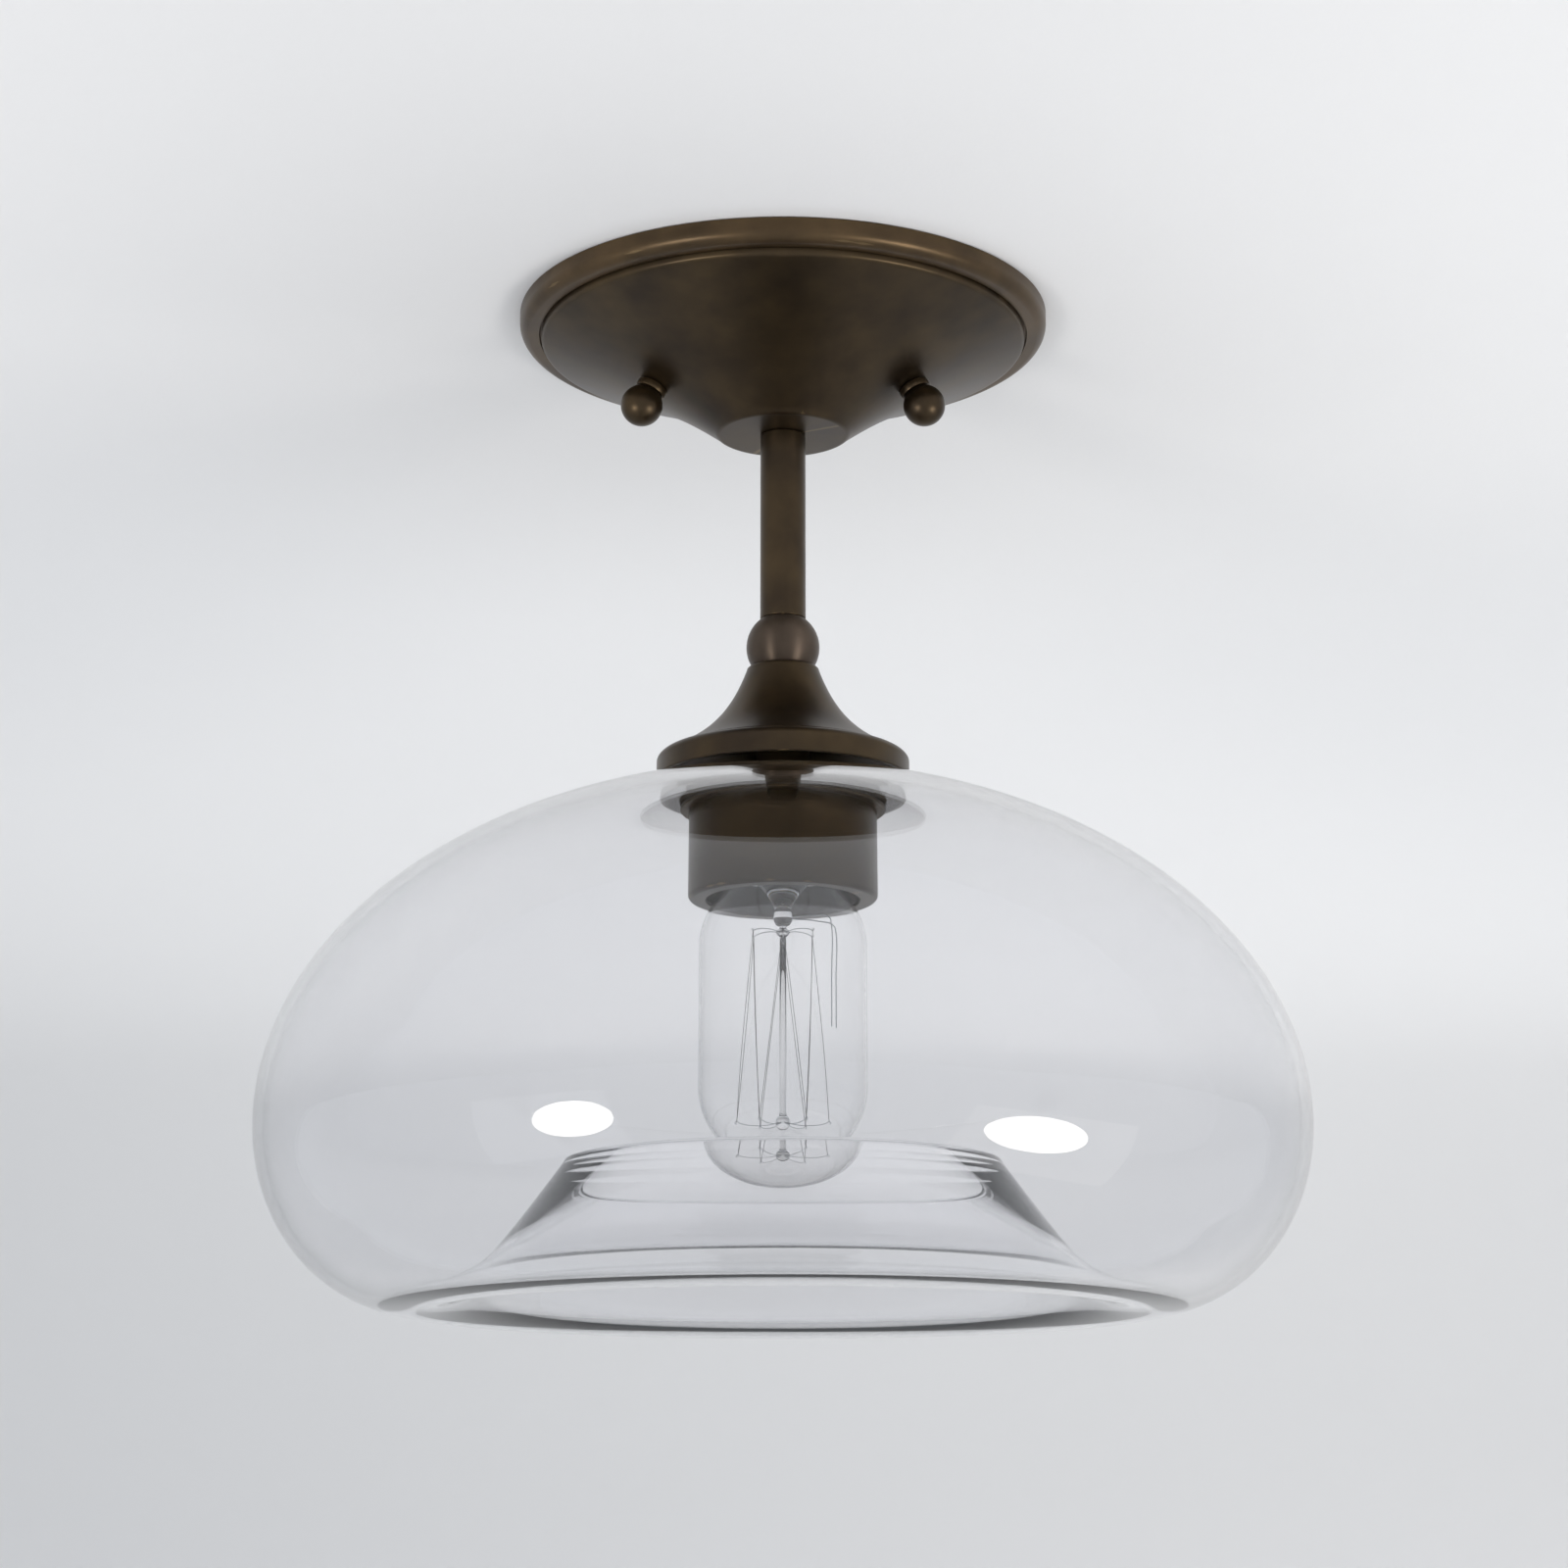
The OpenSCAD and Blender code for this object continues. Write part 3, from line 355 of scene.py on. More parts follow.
def join(pieces, name):
    shape = bmesh.new()
    for piece in pieces:
        shape.from_mesh(piece.data)
    for piece in pieces:
        bpy.data.objects.remove(piece)
    return makeSolid(name, shape)


def place(piece, body, material, slot, *nodes):
    # a new piece: its finish, the body that it moves with and the CAD nodes that it stands for
    piece.data.materials.append(finish[material])
    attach(piece, body)
    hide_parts(*nodes)


def dress(material, *nodes):
    # CAD nodes that keep their shape and get their finish
    for node in nodes:
        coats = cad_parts[node].data.materials
        coats.clear()
        coats.append(finish[material])


# the canopy is a rolled trim ring with a dish in it; sizes are in mm from here on
canopy = {"ringD": 152.6, "ringH": 6.4, "roll": 3.3, "sheet": 1.2, "dishD": 140.2, "dishDrop": 35.3,
          "flatD": 38, "edgeSlope": 22, "hubSlope": 36, "edgePull": 0.45, "hubPull": 0.37, "groove": 0.6,
          "ease": 0.5, "shelf": 6, "edgeR": 1.1, "edgeH": 2.7, "hubRound": (1.8, 1.4), "foldIn": 2.2,
          "edge": ((0, 0), (0, -1.6), (-0.15, -2.0), (-0.4, -2.35))}
nippleHoleR = 5.05    # the hole for the threaded nipple, in every sheet and plate on the axis
sheet = canopy["sheet"]
ringR, dishR, flatR = canopy["ringD"] / 2, canopy["dishD"] / 2, canopy["flatD"] / 2
flatZ = -canopy["dishDrop"]
edgeZ = -canopy["ringH"] + canopy["groove"]
lipR, shelfR = dishR + canopy["ease"], dishR - canopy["shelf"]
roll = canopy["roll"]
rollAt = (ringR - roll, -canopy["ringH"] + roll)
trimRing = turned("trimRing",
    [(ringR, 0)] + arc(rollAt, roll, roll, 0, -82, 24)
    + [(lipR, -canopy["ringH"]), (lipR, edgeZ), (shelfR, edgeZ), (shelfR, edgeZ + sheet),
       (lipR + sheet, edgeZ + sheet)]
    + arc(rollAt, roll - sheet, roll - sheet, -60, 0, 12) + [(ringR - sheet, 0)], steps=256)
soften(trimRing, width=0.2)
# the ring wears the lit copy of the bronze, which paints light onto it
place(trimRing, "fixture", "litCopyRingBronze", "bronze", "trim_ring")

dishEdge = (dishR - canopy["edgeR"], edgeZ - canopy["edgeH"])
dishHub = (flatR + 1, flatZ + 1.1)
dishSpan = dishEdge[0] - dishHub[0]
edgeRun, hubRun = canopy["edgePull"] * dishSpan, canopy["hubPull"] * dishSpan
dishCurve = curve(dishEdge,
    (dishEdge[0] - edgeRun, dishEdge[1] - edgeRun * math.tan(math.radians(canopy["edgeSlope"]))),
    (dishHub[0] + hubRun, dishHub[1] + hubRun * math.tan(math.radians(canopy["hubSlope"]))), dishHub, 64)
hubW, hubH = canopy["hubRound"]
dish = turned("canopyDish",
    at(dishR, edgeZ, canopy["edge"]) + dishCurve + arc((flatR - 1, flatZ + hubH), hubW, hubH, -40, -90, 8)
    + [(nippleHoleR, flatZ), (nippleHoleR, flatZ + sheet), (flatR - sheet, flatZ + sheet)]
    + beside(dishCurve, -sheet)[::-1] + [(dishR - canopy["foldIn"], edgeZ)], steps=256)

# two ball-headed screws hold the canopy up; they stand square on the dish, a little in front of its side line
screwSet = {"ballD": 12, "neckR": 3.4, "radius": 38, "forward": 11.3, "tilt": 27, "collarD": 8.9,
            "collarH": 2.1, "ease": 0.4, "shankD": 4.17, "shankL": 20.5, "pitch": 0.79375, "threadH": 0.4,
            "gap": 0.3, "play": 0.3, "drillL": 10}


def heightOnDish(radius):
    for inner, outer in zip(dishCurve[1:], dishCurve):
        if inner[0] <= radius <= outer[0]:
            t = (radius - inner[0]) / (outer[0] - inner[0])
            return inner[1] + t * (outer[1] - inner[1])


def onScrewAxis(side):
    turn = math.radians(-screwSet["forward"] if side > 0 else 180 + screwSet["forward"])
    reach = screwSet["radius"]
    spot = Vector((reach * math.cos(turn), reach * math.sin(turn), heightOnDish(reach))) * mm
    lean = Matrix.Rotation(-math.radians(screwSet["tilt"]), 4, "Y")
    return Matrix.Translation(spot) @ Matrix.Rotation(turn, 4, "Z") @ lean


drill = bmesh.new()
drillR = (screwSet["shankD"] / 2 + screwSet["play"]) * mm
for side in (-1, 1):
    bmesh.ops.create_cone(drill, cap_ends=True, segments=64, radius1=drillR, radius2=drillR,
                          depth=screwSet["drillL"] * mm, matrix=onScrewAxis(side))
cutAway(dish, makeSolid("drill", drill))
soften(dish, width=0.12)
place(dish, "fixture", "oilRubbedBronze", "bronze", "canopy_dish")


def makeBallScrew(name, side, body, node):
    s = screwSet
    headR, neckR, collarR, ease = s["ballD"] / 2, s["neckR"], s["collarD"] / 2, s["ease"]
    top = -s["gap"]
    low = top - s["collarH"]
    drop = math.sqrt(headR ** 2 - neckR ** 2)
    neckAngle = math.degrees(math.asin(drop / headR))
    corner = [(-ease, 0), (-ease / 4, ease / 4), (0, ease)]
    head = turned("head",
        [(0, low - drop - headR)] + arc((0, low - drop), headR, headR, -90, neckAngle, 40)[1:]
        + [(neckR + 0.05, low)] + at(collarR, low, corner)
        + at(collarR, top, [(x, -z) for x, z in corner[::-1]]) + [(0, top)], steps=96)
    shankR = s["shankD"] / 2
    shank = threaded("shank", shankR - s["threadH"], shankR, s["pitch"], top - 0.02, s["shankL"],
                     steps=48, rows=8)
    screw = join([head, shank], name)
    screw.data.transform(onScrewAxis(side))
    place(screw, body, "oilRubbedBronze", "bronze", node)


makeBallScrew("leftBallScrew", -1, "left_screw", "left_ball_screw")
makeBallScrew("rightBallScrew", 1, "right_screw", "right_ball_screw")
print("canopy made")

# the stem is a plain tube, and a ball coupling joins it to the bell
edgeBreak = 0.3    # the corner that a turned end loses
stem = {"d": 13, "length": 55.3, "bore": 10.1}
stemZ = flatZ - stem["length"]
stemR, stemBoreR = stem["d"] / 2, stem["bore"] / 2
tube = turned("stemTube",
    [(stemBoreR, stemZ), (stemR - edgeBreak, stemZ), (stemR, stemZ + edgeBreak),
     (stemR, flatZ - edgeBreak), (stemR - edgeBreak, flatZ), (stemBoreR, flatZ)], steps=128)
soften(tube, width=0.12)
place(tube, "fixture", "oilRubbedBronze", "bronze", "stem_tube")

coupling = {"d": 20.8, "up": 8.3, "down": 6.2}
ballR = coupling["d"] / 2
ballZ = stemZ - coupling["up"]
bellZ = ballZ - coupling["down"]
topAngle = math.degrees(math.asin(coupling["up"] / ballR))
lowAngle = math.degrees(math.asin(coupling["down"] / ballR))
knob = turned("ballCoupling",
    arc((0, ballZ), ballR, ballR, -lowAngle, topAngle, 48)
    + [(stemBoreR, stemZ), (stemBoreR, bellZ)], steps=160)
soften(knob, width=0.15)
place(knob, "fixture", "brushedBronze", "bronze", "ball_coupling")

# the bell sweeps out in a cove to a crease, then a rounded band and a short straight wall
bell = {"d": 71.2, "h": 32.5, "topD": 20.4, "shoulder": 1, "creaseD": 61.6, "bandH": 7.8, "wallH": 4.9,
        "bore": 10.1, "topPull": (4.2, -11.2), "lowPull": (-10.8, 5.6)}
bellR, topR, creaseR, bellBoreR = bell["d"] / 2, bell["topD"] / 2, bell["creaseD"] / 2, bell["bore"] / 2
rimZ = bellZ - bell["h"]
shoulderZ = bellZ - bell["shoulder"]
coveTop = (topR + 0.2, shoulderZ)
coveEnd = (creaseR, rimZ + bell["bandH"] + 0.4)
cove = curve(coveTop, *at(*coveTop, [bell["topPull"]]), *at(*coveEnd, [bell["lowPull"]]), coveEnd, 56)
bandW, bandH = bellR - creaseR, bell["bandH"] - bell["wallH"]
bandAt = (creaseR, rimZ + bell["wallH"])
cap = turned("bellCap",
    [(bellBoreR, bellZ), (topR - edgeBreak, bellZ), (topR, bellZ - edgeBreak)] + cove
    + arc(bandAt, bandW, bandH, 90, 0, 20)
    + [(bellR, rimZ + edgeBreak), (bellR - edgeBreak, rimZ), (bellR - sheet, rimZ)]
    + arc(bandAt, bandW - sheet, bandH - sheet + 0.1, 0, 90, 10) + beside(cove, -sheet)[:5:-1]
    + [(topR - sheet + 0.4, shoulderZ - sheet), (bellBoreR, shoulderZ - sheet)], steps=224)
soften(cap, width=0.12)
place(cap, "fixture", "oilRubbedBronze", "bronze", "bell_cap")

collar = {"d": 17.4, "h": 2.6, "recess": 3.7, "stepIn": 1.8, "ease": 0.4}
collarTop = rimZ + collar["recess"]
collarLow, collarMid = collarTop - collar["h"], collarTop - collar["h"] / 2
collarR, ease = collar["d"] / 2, collar["ease"]
stepR = collarR - collar["stepIn"]
step = turned("steppedCollar",
    [(nippleHoleR, collarLow), (stepR - ease, collarLow), (stepR, collarLow + 0.3), (stepR, collarMid - ease),
     (collarR - 0.5, collarMid - 0.3), (collarR, collarMid + 0.2), (collarR, collarTop - ease),
     (collarR - ease, collarTop), (nippleHoleR, collarTop)], steps=128)
soften(step, width=0.12)
place(step, "fixture", "oilRubbedBronze", "bronze", "stepped_collar")
dress("oilRubbedBronze", "bell_spacer")

# the glass rests on a seat plate, with the lampholder's cup right under it
seat = {"belowBell": 5.6, "plateD": 58.4, "plateT": 1, "cupD": 53.2, "cupH": 27, "wall": 1, "mouthD": 43.4,
        "lip": 1.6, "bridgeT": 1.2}
seatZ = rimZ - seat["belowBell"]
cupZ = seatZ - seat["plateT"]
wall = seat["wall"]
bridgeLow = cupZ - wall - seat["bridgeT"]

# threaded nipples run on the axis; the lower one shows its fine thread between collar and seat plate
nipple = {"d": 10, "bore": 7.4, "pitch": 1.0, "threadH": 0.45, "grip": 12, "washerH": 1.2, "nutH": 4,
          "end": 1.5, "overcut": 5}


def makeNipple(name, low, high, material, slot, node):
    outerR, boreR = nipple["d"] / 2, nipple["bore"] / 2
    outer = threaded(name, outerR - nipple["threadH"], outerR, nipple["pitch"], low, high, steps=64, rows=6)
    first, last = low - nipple["overcut"], high + nipple["overcut"]
    cutAway(outer, turned("bore", [(0, first), (boreR, first), (boreR, last), (0, last)], steps=48))
    place(outer, "fixture", material, slot, node)


nippleTop = flatZ + sheet + nipple["washerH"] + nipple["nutH"] + nipple["end"]
makeNipple("lowerNipple", bridgeLow, stemZ + nipple["grip"], "oilRubbedBronze", "bronze", "lower_nipple")
makeNipple("canopyNipple", flatZ - nipple["grip"], nippleTop, "rolledBrass", "brass", "canopy_nipple")
print("stem and bell made")

plateR, plateEdge = seat["plateD"] / 2, seat["plateT"] / 2
plate = turned("seatPlate",
    [(nippleHoleR, cupZ), (nippleHoleR, seatZ)]
    + arc((plateR - plateEdge, seatZ - plateEdge), plateEdge, plateEdge, 90, -90, 14))
place(plate, "fixture", "oilRubbedBronze", "bronze", "seat_plate")
cupR, mouthR, lip = seat["cupD"] / 2, seat["mouthD"] / 2, seat["lip"]
mouthZ = cupZ - seat["cupH"]
cup = turned("socketCup",
    [(nippleHoleR, cupZ)] + at(cupR, cupZ, [(-0.6, 0), (-0.18, -0.18), (0, -0.6)])
    + arc((cupR - lip, mouthZ + lip), lip, lip, 0, -90, 14)
    + [(mouthR, mouthZ), (mouthR, mouthZ + wall), (cupR - lip, mouthZ + wall), (cupR - wall, mouthZ + lip),
       (cupR - wall, cupZ - wall), (nippleHoleR, cupZ - wall)])
soften(cup, width=0.12)
# the cup wears the shaded copy of the bronze, which paints shade onto it
place(cup, "fixture", "shadedCopyCupBronze", "bronze", "socket_cup")
dress("siliconeRubber", "seat_gasket")
print("cup made")

# the shade is one blown piece: dome and belly in one sweep, then folded in and up to a raised rim
shade = {"d": 288.2, "domeH": 98.9, "heelR": 100, "heelDrop": 50.3, "t": 3, "heelT": 3.8, "holeD": 41.2,
         "mouthD": 114, "coneT": 2.6, "rimRise": 41.3, "coneSlope": 55, "gasketT": 0.4, "gap": 0.3,
         "gasketIn": 0.2}


def makeShade():
    s = shade
    t, coneT, heelR = s["t"], s["coneT"], s["heelR"]
    outerR, holeR, mouthR = s["d"] / 2, s["holeD"] / 2, s["mouthD"] / 2
    innerR, innerH = outerR - t, s["domeH"] - t
    # the inside of the dome lies on the gasket's edge, and that sets the height of the belly
    gasketR = plateR - s["gasketIn"]
    bellyZ = seatZ + s["gasketT"] + s["gap"] - innerH * math.sqrt(1 - (gasketR / innerR) ** 2)
    heelZ = bellyZ - s["heelDrop"]
    floorZ = heelZ + s["heelT"]
    rimLine = heelZ + s["rimRise"] - coneT / 2
    # the fold's radius is the one that lets the cone's slope meet the rim
    slope = math.radians(s["coneSlope"])
    fold = ((heelR - mouthR - (rimLine - heelZ) / math.tan(slope))
            / (math.sin(slope) - (1 - math.cos(slope)) / math.tan(slope)))
    trough = fold - s["heelT"]
    coneIn = mouthR + coneT / math.sin(slope)
    troughIn = (coneIn + trough * math.sin(slope)
                + (rimLine - floorZ - trough * (1 - math.cos(slope))) / math.tan(slope))
    foldEnd = -90 - s["coneSlope"]
    innerDrop = s["heelDrop"] - t
    heelAngle = math.degrees(math.asin(min(1, (bellyZ - floorZ) / innerDrop)))
    outline = arc((0, bellyZ), outerR, s["domeH"], math.degrees(math.acos(holeR / outerR)), 0, 72)
    outline += arc((heelR, bellyZ), outerR - heelR, s["heelDrop"], 0, -90, 44)[1:]
    outline += arc((heelR, heelZ + fold), fold, fold, -90, foldEnd, 20)[1:]
    outline += arc(((mouthR + coneIn) / 2, rimLine), coneT / 2 / math.sin(slope), coneT / 2, 180, 0, 16)
    outline += arc((troughIn, floorZ + trough), trough, trough, foldEnd, -90, 16)
    outline += arc((heelR, bellyZ), outerR - heelR - t, innerDrop, -heelAngle, 0, 36)
    outline += arc((0, bellyZ), innerR, innerH, 0, math.degrees(math.acos(holeR / innerR)), 68)[1:]
    return turned("glassShade", outline, steps=288, sharpAngle=40)


place(makeShade(), "shade", "blownGlass", "shade_glass", "glass_shade")
print("shade made")

# the lampholder's insides keep their CAD shapes
dress("zincPlate", "bridge_plate", "holder_screws")
dress("glazedPorcelain", "porcelain_ring")
dress("pressedPaper", "insulating_disc")
dress("rolledBrass", "screw_shell", "centre_contact")

# a clear tubular bulb with a round end; its neck is where the cap begins
bulb = {"d": 46.8, "length": 85.2, "shoulder": 21, "t": 0.8, "capD": 26, "neckZ": -162.55,
        "neckPull": (3, -3.4), "fullPull": 0.37}
bulbR, capR, glassT = bulb["d"] / 2, bulb["capD"] / 2, bulb["t"]
neckZ = bulb["neckZ"]
fullZ = neckZ - bulb["shoulder"]
roundZ = neckZ - bulb["length"] + bulbR
neckCurve = curve((capR, neckZ), *at(capR, neckZ, [bulb["neckPull"]]),
                  (bulbR, fullZ + bulb["fullPull"] * bulb["shoulder"]), (bulbR, fullZ), 30)
bulbOuter = neckCurve + arc((0, roundZ), bulbR, bulbR, 0, -90, 40)
bulbInner = beside(neckCurve, -glassT) + arc((0, roundZ), bulbR - glassT, bulbR - glassT, 0, -90, 36)
envelope = turned("bulbGlass", bulbOuter + bulbInner[::-1], steps=160)
place(envelope, "bulb", "bulbGlass", "bulb_glass", "bulb_glass")

# inside it a flared glass mount is pinched round the leads
mount = {"length": 16, "flareIn": 1.2, "flare": ((8.5, -1.8), (5, -6), (3, -9.6)),
         "pinch": ((2.2, 4.4), (2.6, 3.4), (2.7, 1.8), (1.9, 0.3), (1.4, 0), (0, 0))}
mountZ = neckZ - mount["length"]
flareR = capR - mount["flareIn"]
flare = turned("bulbMount",
    [(0, neckZ - 0.4), (flareR, neckZ - 0.4), (flareR, neckZ - 1.2)]
    + curve((flareR, neckZ - 1.2), *at(0, neckZ, mount["flare"]), 16)[1:] + at(0, mountZ, mount["pinch"]),
    steps=96, sharpAngle=60)
place(flare, "bulb", "bulbGlass", "bulb_glass", "bulb_mount")
dress("rolledBrass", "bulb_cap")
dress("blackGlass", "bulb_insulator")
dress("solder", "bulb_tip")

# a clear glass rod with a bead at its foot carries the fine hooks, and the filament goes up and down over them
cage = {"belowMount": 2, "length": 54, "topR": 9.3, "lowR": 12.5, "strands": 12, "standOff": 0.2,
        "wireR": 0.07, "hookR": 0.1, "leadR": 0.16, "liftTop": 0.5, "liftLow": -0.6, "bow": 0.35,
        "backBow": -0.6, "rodR": 0.9, "beadR": 2.0, "beadH": 2.2, "beadTop": 3,
        "knop": ((0.9, -3.2), (1.7, -2.6), (1.9, -2.0), (1.7, -1.3), (1.0, -0.8), (0.9, -0.05), (0, -0.05))}
hookZ = mountZ - cage["belowMount"]
lowZ = hookZ - cage["length"]
rod = turned("glassRod",
    [(0, lowZ - cage["beadH"])] + arc((0, lowZ), cage["beadR"], cage["beadH"], -90, 58, 16)[1:]
    + [(cage["rodR"], lowZ + cage["beadTop"])] + at(0, mountZ, cage["knop"]),
    steps=48, sharpAngle=70)
place(rod, "bulb", "bulbGlass", "bulb_glass")


def wires(name, paths, radius):
    # thin round wires through lists of points in mm
    data = bpy.data.curves.new(name, "CURVE")
    data.dimensions = "3D"
    data.bevel_depth = radius * mm
    data.bevel_resolution = 3
    data.use_fill_caps = True
    for path in paths:
        points = data.splines.new("BEZIER").bezier_points
        points.add(len(path) - 1)
        for point, (x, y, z) in zip(points, path):
            point.co = (x * mm, y * mm, z * mm)
            point.handle_left_type = point.handle_right_type = "AUTO"
    piece = bpy.data.objects.new(name, data)
    shot.collection.objects.link(piece)
    return piece


def onCage(i):
    # the filament's corners lie on the upper and the lower hooks by turns
    a = 2 * math.pi * i / cage["strands"]
    radius, z = (cage["topR"], hookZ) if i % 2 else (cage["lowR"], lowZ)
    radius += cage["standOff"]
    return (radius * math.cos(a), radius * math.sin(a), z)


hookPaths = []
for i in range(cage["strands"]):
    x, y, z = onCage(i)
    lift = cage["liftTop"] if i % 2 else cage["liftLow"]
    size = math.hypot(x, y)
    # each hook leaves the rod, bows a little and ends in a loop round the filament
    stations = ((0.7, 0), (0.45 * size, 1.4), (size - 0.9, 0.4), (size, -0.5), (size + 0.5, 0.1), (size, 0.9))
    hookPaths.append([(reach * x / size, reach * y / size, z + rise * lift) for reach, rise in stations])
place(wires("hooks", hookPaths, cage["hookR"]), "bulb", "supportWire", "wire_steel", "bulb_supports")

strandPaths = []
for i in range(1, cage["strands"]):
    a, b = Vector(onCage(i - 1)), Vector(onCage(i))
    outward = Vector(((a + b).x, (a + b).y, 0)).normalized()
    bow = outward * cage["bow"] * (1 if i % 3 else cage["backBow"])
    strandPaths.append([tuple(a), tuple(a.lerp(b, 0.3) + bow), tuple(a.lerp(b, 0.7) + bow * 0.7), tuple(b)])
place(wires("filament", strandPaths, cage["wireR"]), "bulb", "tungsten", "filament", "filament")

leadPaths = []
for k in (0, 1):
    # each lead leaves the pinch, arches over and hangs beside the cage; the second one lies further out
    x, y, dip = cage["lowR"] + 1 + 1.3 * k, 1.1 * (2 * k - 1), 2 * k
    arch = at(0, mountZ, [(2.2, 2.4), (x - 5, 2.9 - 1.2 * k), (x - 0.6, 2.4 - dip), (x, 0.6 - dip)])
    hang = [(x, hookZ - cage["length"] / 4), (x, hookZ - cage["length"] / 2)]
    leadPaths.append([(px, y, pz) for px, pz in arch + hang])
place(wires("bulbLeads", leadPaths, cage["leadR"]), "bulb", "supportWire", "wire_steel", "bulb_leads")
print("bulb made")

# the hardware behind the canopy
dress("zincPlate", "box_strap", "canopy_bracket", "swivel_rivet", "left_keeper", "right_keeper",
      "canopy_washer", "canopy_nut")
dress("greenScrew", "ground_screw")
dress("blackPvc", "hot_lead")
dress("whitePvc", "neutral_lead")
dress("greenPvc", "ground_lead")

# twist-on connectors lie side by side: tapered caps with grip ribs and a rolled skirt
connectors = {"d": 11, "length": 22, "step": 13, "y": 26, "z": -10, "hole": 2.4, "ribs": 10, "steps": 120,
              "taper": 1.6, "ribFrom": 3.6, "ribL": 15.6, "ribDepth": 0.42}


def twistCap(x):
    c = connectors
    outer, hole, length = c["d"] / 2, c["hole"] / 2, c["length"]
    # each station: radius, distance from the open end, depth of the grooves between the ribs
    stations = [(hole, 5, 0), (hole, 0.4, 0), (hole + 0.4, 0, 0), (outer - 0.5, 0, 0), (outer, 0.5, 0),
                (outer, 2.6, 0), (outer - 0.35, 3.2, 0.2)]
    for i in range(15):
        t = i / 14
        swell = math.sin(math.pi * min(1, t * 1.15 + 0.1))
        stations.append((outer - 0.35 - c["taper"] * t ** 1.6, c["ribFrom"] + c["ribL"] * t,
                         c["ribDepth"] * swell ** 0.5 if t < 0.85 else 0.1))
    stations += [(3.2, length - 1.4, 0), (2.4, length - 0.4, 0), (1.2, length, 0), (0.0, length, 0)]
    shape = bmesh.new()
    rings = []
    for radius, along, rib in stations:
        ring = []
        for a in around(c["steps"]):
            r = max(radius, 0.02) - (rib if math.cos(c["ribs"] * a) < 0 else 0)
            ring.append(shape.verts.new(((x + r * math.cos(a)) * mm, (c["y"] + along) * mm,
                                         (c["z"] + r * math.sin(a)) * mm)))
        rings.append(ring)
    skin(shape, rings, c["steps"])
    shape.faces.new(rings[0])
    shape.faces.new(rings[-1])
    return makeSolid("twistCap", shape, sharpAngle=40)


caps = join([twistCap(x * connectors["step"]) for x in (-1, 0, 1)], "twistCaps")
place(caps, "fixture", "orangeNylon", "connector", "wire_connectors")
print("hardware made")

# the room, in metres: a floor, and a ceiling that sweeps down behind the light, so that no line crosses the picture
room = {"width": 7.0, "front": -3.2, "bendFrom": 1.5, "bendR": 1.3, "ceilingZ": 0.0002, "floorZ": -2.6,
        "boxHoleR": 0.07, "pale": "#ecf0f6", "paleStrength": 0.74, "ceilingPaint": "#ededed",
        "floorPaint": "#e4e6e8", "peelMm": 1.6, "peelDepthMm": 0.12}
peelRelief = {"strength": 0.35, "detail": 4.0}


def addStrip(shape, path):
    # a wide strip along x that follows (y, z) points, facing the room
    rows = [[shape.verts.new((x * room["width"] / 2, y, z)) for x in (-1, 1)] for y, z in path]
    for row, following in zip(rows, rows[1:]):
        shape.faces.new([row[0], following[0], following[1], row[1]])


def addFlatRound(shape, front, back, z):
    # the flat part of the ceiling, open above the canopy as it is at the outlet box
    half = room["width"] / 2
    angles = around(96) + [math.atan2(y, x) % (2 * math.pi) for x in (-half, half) for y in (front, back)]
    rows = []
    for a in sorted(angles):
        toSide = half / max(abs(math.cos(a)), 1e-9)
        toEnd = (back if math.sin(a) > 0 else -front) / max(abs(math.sin(a)), 1e-9)
        rows.append([shape.verts.new((r * math.cos(a), r * math.sin(a), z))
                     for r in (room["boxHoleR"], min(toSide, toEnd))])
    for row, following in zip(rows, rows[1:] + rows[:1]):
        shape.faces.new([following[0], following[1], row[1], row[0]])


def makeCeilingPaint():
    # matt emulsion rolled on plaster: a quiet off-white with a fine orange-peel
    material, tree, shader, spot = startMaterial("ceilingPaint", {
        "Base Color": linear(room["ceilingPaint"]), "Roughness": 0.95, "Specular IOR Level": 0.2})
    addGrain(tree, shader, spot, room["peelMm"], room["peelDepthMm"], **peelRelief)
    # clear from behind, so that views from above show the hardware
    side = addNode(tree, "ShaderNodeNewGeometry")
    clear = addNode(tree, "ShaderNodeBsdfTransparent")
    both = addNode(tree, "ShaderNodeMixShader", None, {
        "Fac": side.outputs["Backfacing"], 1: shader.outputs["BSDF"], 2: clear.outputs["BSDF"]})
    tree.links.new(both.outputs["Shader"], tree.nodes["Material Output"].inputs["Surface"])
    return material


def makeFloorPaint():
    # matt floor paint: the eye, metal and glass see one plain pale tone, and other light falls on the paint
    material, tree, shader = startMaterial("floorPaint", {
        "Base Color": linear(room["floorPaint"]), "Roughness": 0.9})[:3]
    rays = addNode(tree, "ShaderNodeLightPath")
    seen = rays.outputs["Is Camera Ray"]
    for kind in ("Is Glossy Ray", "Is Transmission Ray"):
        seen = addNode(tree, "ShaderNodeMath", None, {0: seen, 1: rays.outputs[kind]},
                       operation="ADD", use_clamp=True).outputs["Value"]
    pale = addNode(tree, "ShaderNodeEmission",
                   {"Color": linear(room["pale"]), "Strength": room["paleStrength"]})
    both = addNode(tree, "ShaderNodeMixShader", None, {
        "Fac": seen, 1: shader.outputs["BSDF"], 2: pale.outputs["Emission"]})
    tree.links.new(both.outputs["Shader"], tree.nodes["Material Output"].inputs["Surface"])
    return material


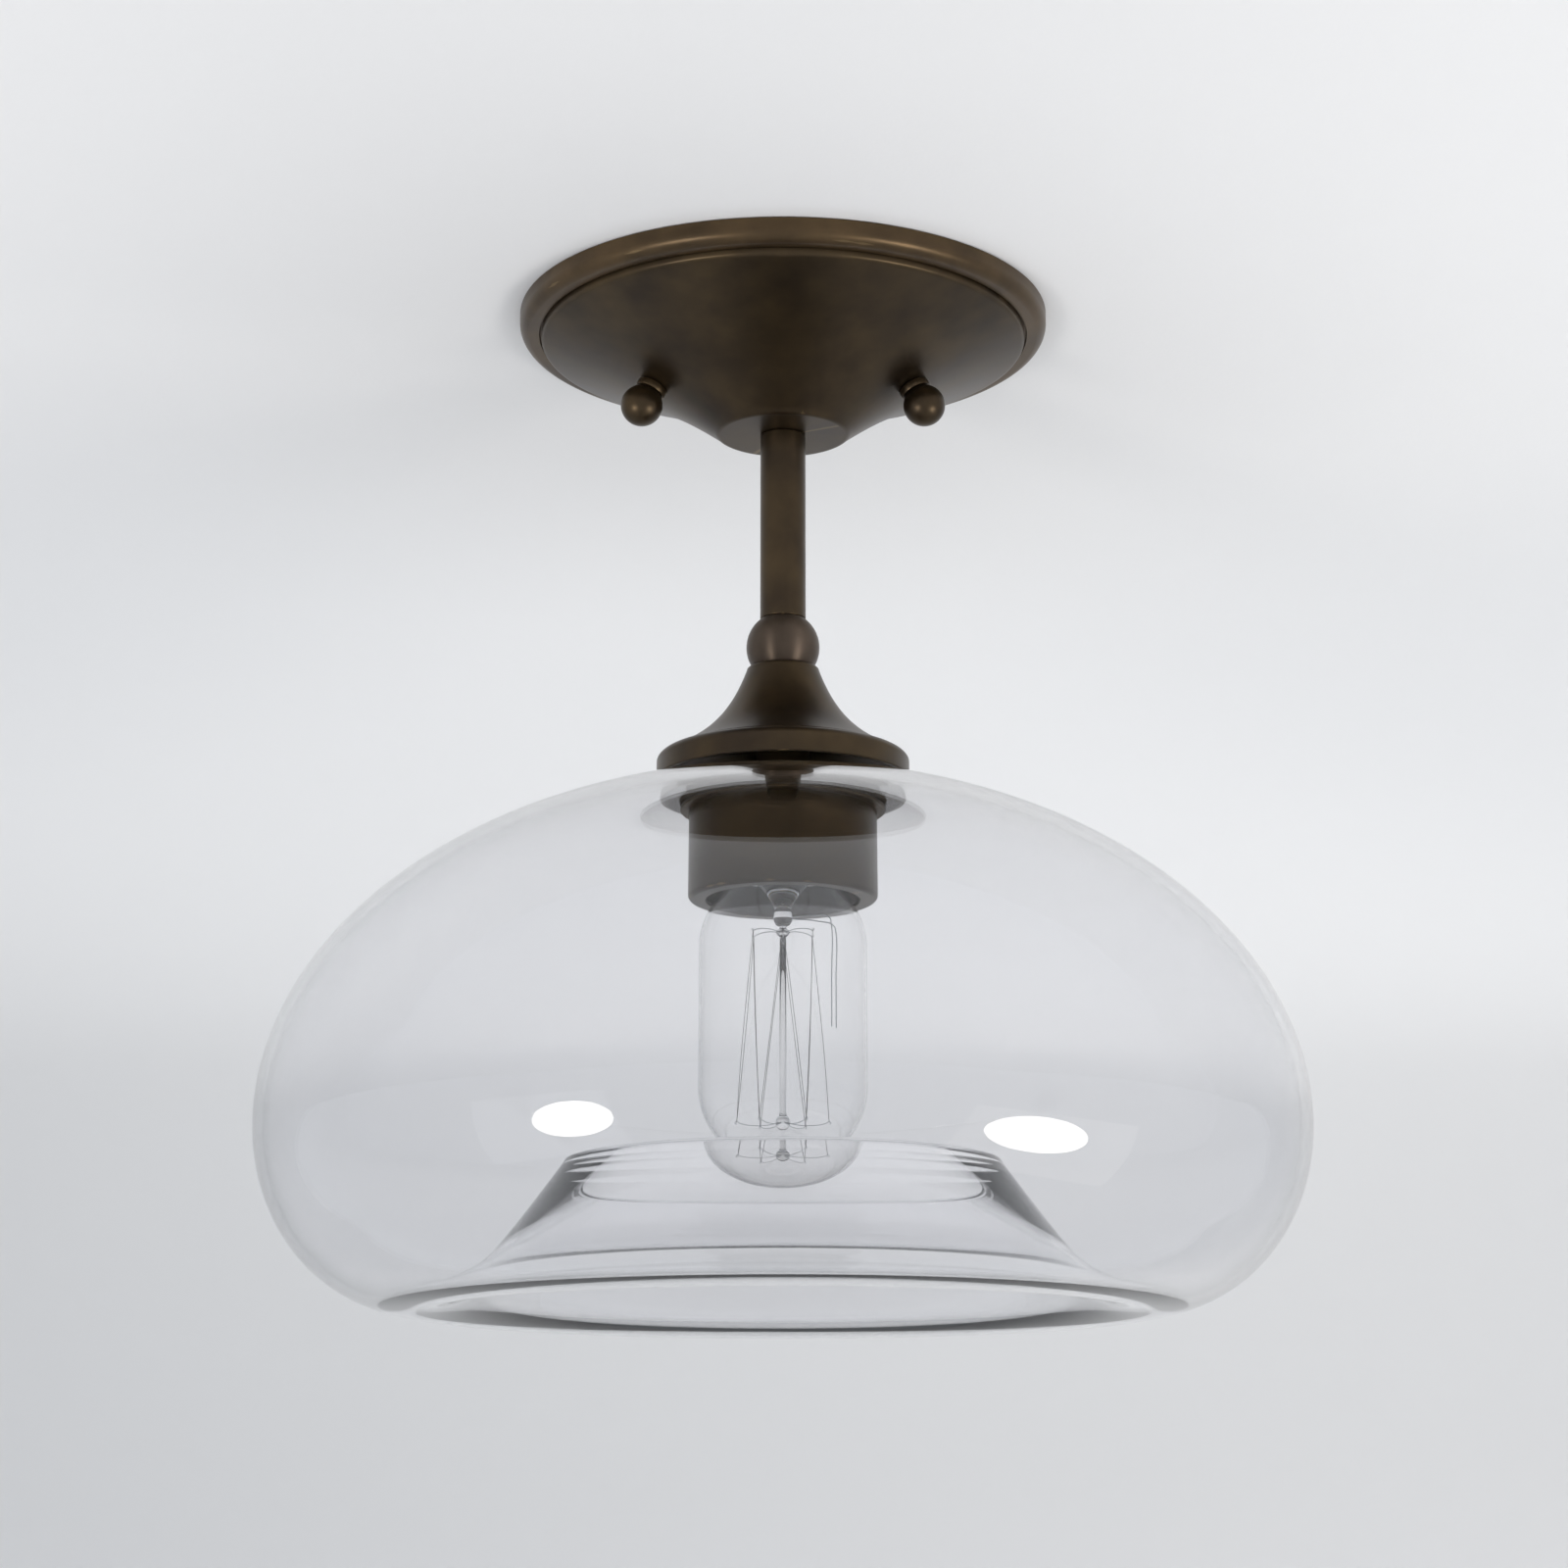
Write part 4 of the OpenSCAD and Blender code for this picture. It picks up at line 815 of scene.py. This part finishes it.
bendY, bendR, ceilingZ = room["bendFrom"], room["bendR"], room["ceilingZ"]
sweep = [(bendY, ceilingZ)]
sweep += [(bendY + bendR * math.sin(a), ceilingZ - bendR * (1 - math.cos(a)))
          for a in (math.radians(3 * i) for i in range(1, 31))]
sweep.append((bendY + bendR, room["floorZ"]))
ceilingShape = bmesh.new()
addFlatRound(ceilingShape, room["front"], bendY, ceilingZ)
addStrip(ceilingShape, sweep)
ceiling = makeObject("ceiling", ceilingShape)
ceiling.data.materials.append(makeCeilingPaint())
floorShape = bmesh.new()
addStrip(floorShape, [(bendY + bendR, room["floorZ"]), (room["front"], room["floorZ"])])
floor = makeObject("floor", floorShape)
floor.data.materials.append(makeFloorPaint())

# past the floor's edge the world has the floor's own colour
world = bpy.data.worlds.new("room")
world.use_nodes = True
world.node_tree.nodes["Background"].inputs["Color"].default_value = linear(room["pale"])
world.node_tree.nodes["Background"].inputs["Strength"].default_value = room["paleStrength"]
shot.world = world

# lamps in metres and watts; only the glossy ones show in the glass and the metal
lamps = {
    # two small studio lamps that leave the bright spots on the shade
    "rightLamp": {"place": (0.86, -0.64, -0.67), "aim": (0.05, -0.1, -0.25), "size": (0.46, 0.3),
                  "shape": "ELLIPSE", "power": 3.6, "colour": "#fffaf4", "glossy": True},
    "leftLamp": {"place": (-0.73, -0.80, -0.58), "aim": (-0.05, -0.1, -0.25), "size": (0.33, 0.3),
                 "shape": "ELLIPSE", "power": 3.0, "colour": "#fffaf4", "glossy": True},
    # two soft boxes that put long lights on the bell, the stem and the ring
    "sideBox": {"place": (1.3, -0.80, -1.0), "aim": (0, 0, -0.2), "size": (1.2, 0.8),
                "shape": "RECTANGLE", "power": 2.2, "colour": "#fffaf4", "glossy": True},
    "leftBox": {"place": (-1.2, -1.0, -0.8), "aim": (0, 0, -0.12), "size": (0.9, 0.8),
                "shape": "RECTANGLE", "power": 1.5, "colour": "#f8faff", "glossy": True},
    # glows that light the ceiling behind the shade, the far sweep and the room from below
    "midGlow": {"place": (0.2, 1.0, -1.0), "aim": (0.1, 0.45, 0), "size": (0.9, 0.7),
                "shape": "RECTANGLE", "power": 2.6, "colour": "#ffffff", "glossy": False},
    "backGlow": {"place": (1.0, 1.1, -1.6), "aim": (0.5, 2.5, -0.5), "size": (1.0, 0.8),
                 "shape": "RECTANGLE", "power": 6, "colour": "#fffaf4", "glossy": False},
    "roomGlow": {"place": (0.5, -0.1, -2.4), "aim": (0.3, 1.0, -0.2), "size": (2.2, 2.2),
                 "shape": "RECTANGLE", "power": 12.2, "colour": "#ffffff", "glossy": False},
    "lowGlow": {"place": (-0.6, -1.0, -2.4), "aim": (-0.3, 0.6, 0), "size": (2.2, 2.2),
                "shape": "RECTANGLE", "power": 4.0, "colour": "#e8f0ff", "glossy": False}}
for name, lamp in lamps.items():
    data = bpy.data.lights.new(name, "AREA")
    data.shape = lamp["shape"]
    data.size, data.size_y = lamp["size"]
    data.energy = lamp["power"]
    data.color = linear(lamp["colour"])[:3]
    lampObject = bpy.data.objects.new(name, data)
    lampObject.location = lamp["place"]
    beam = Vector(lamp["aim"]) - Vector(lamp["place"])
    lampObject.rotation_euler = beam.to_track_quat("-Z", "Y").to_euler()
    lampObject.visible_camera = False
    lampObject.visible_glossy = lamp["glossy"]
    lampObject.visible_transmission = False
    shot.collection.objects.link(lampObject)
print("stage and lamps set")
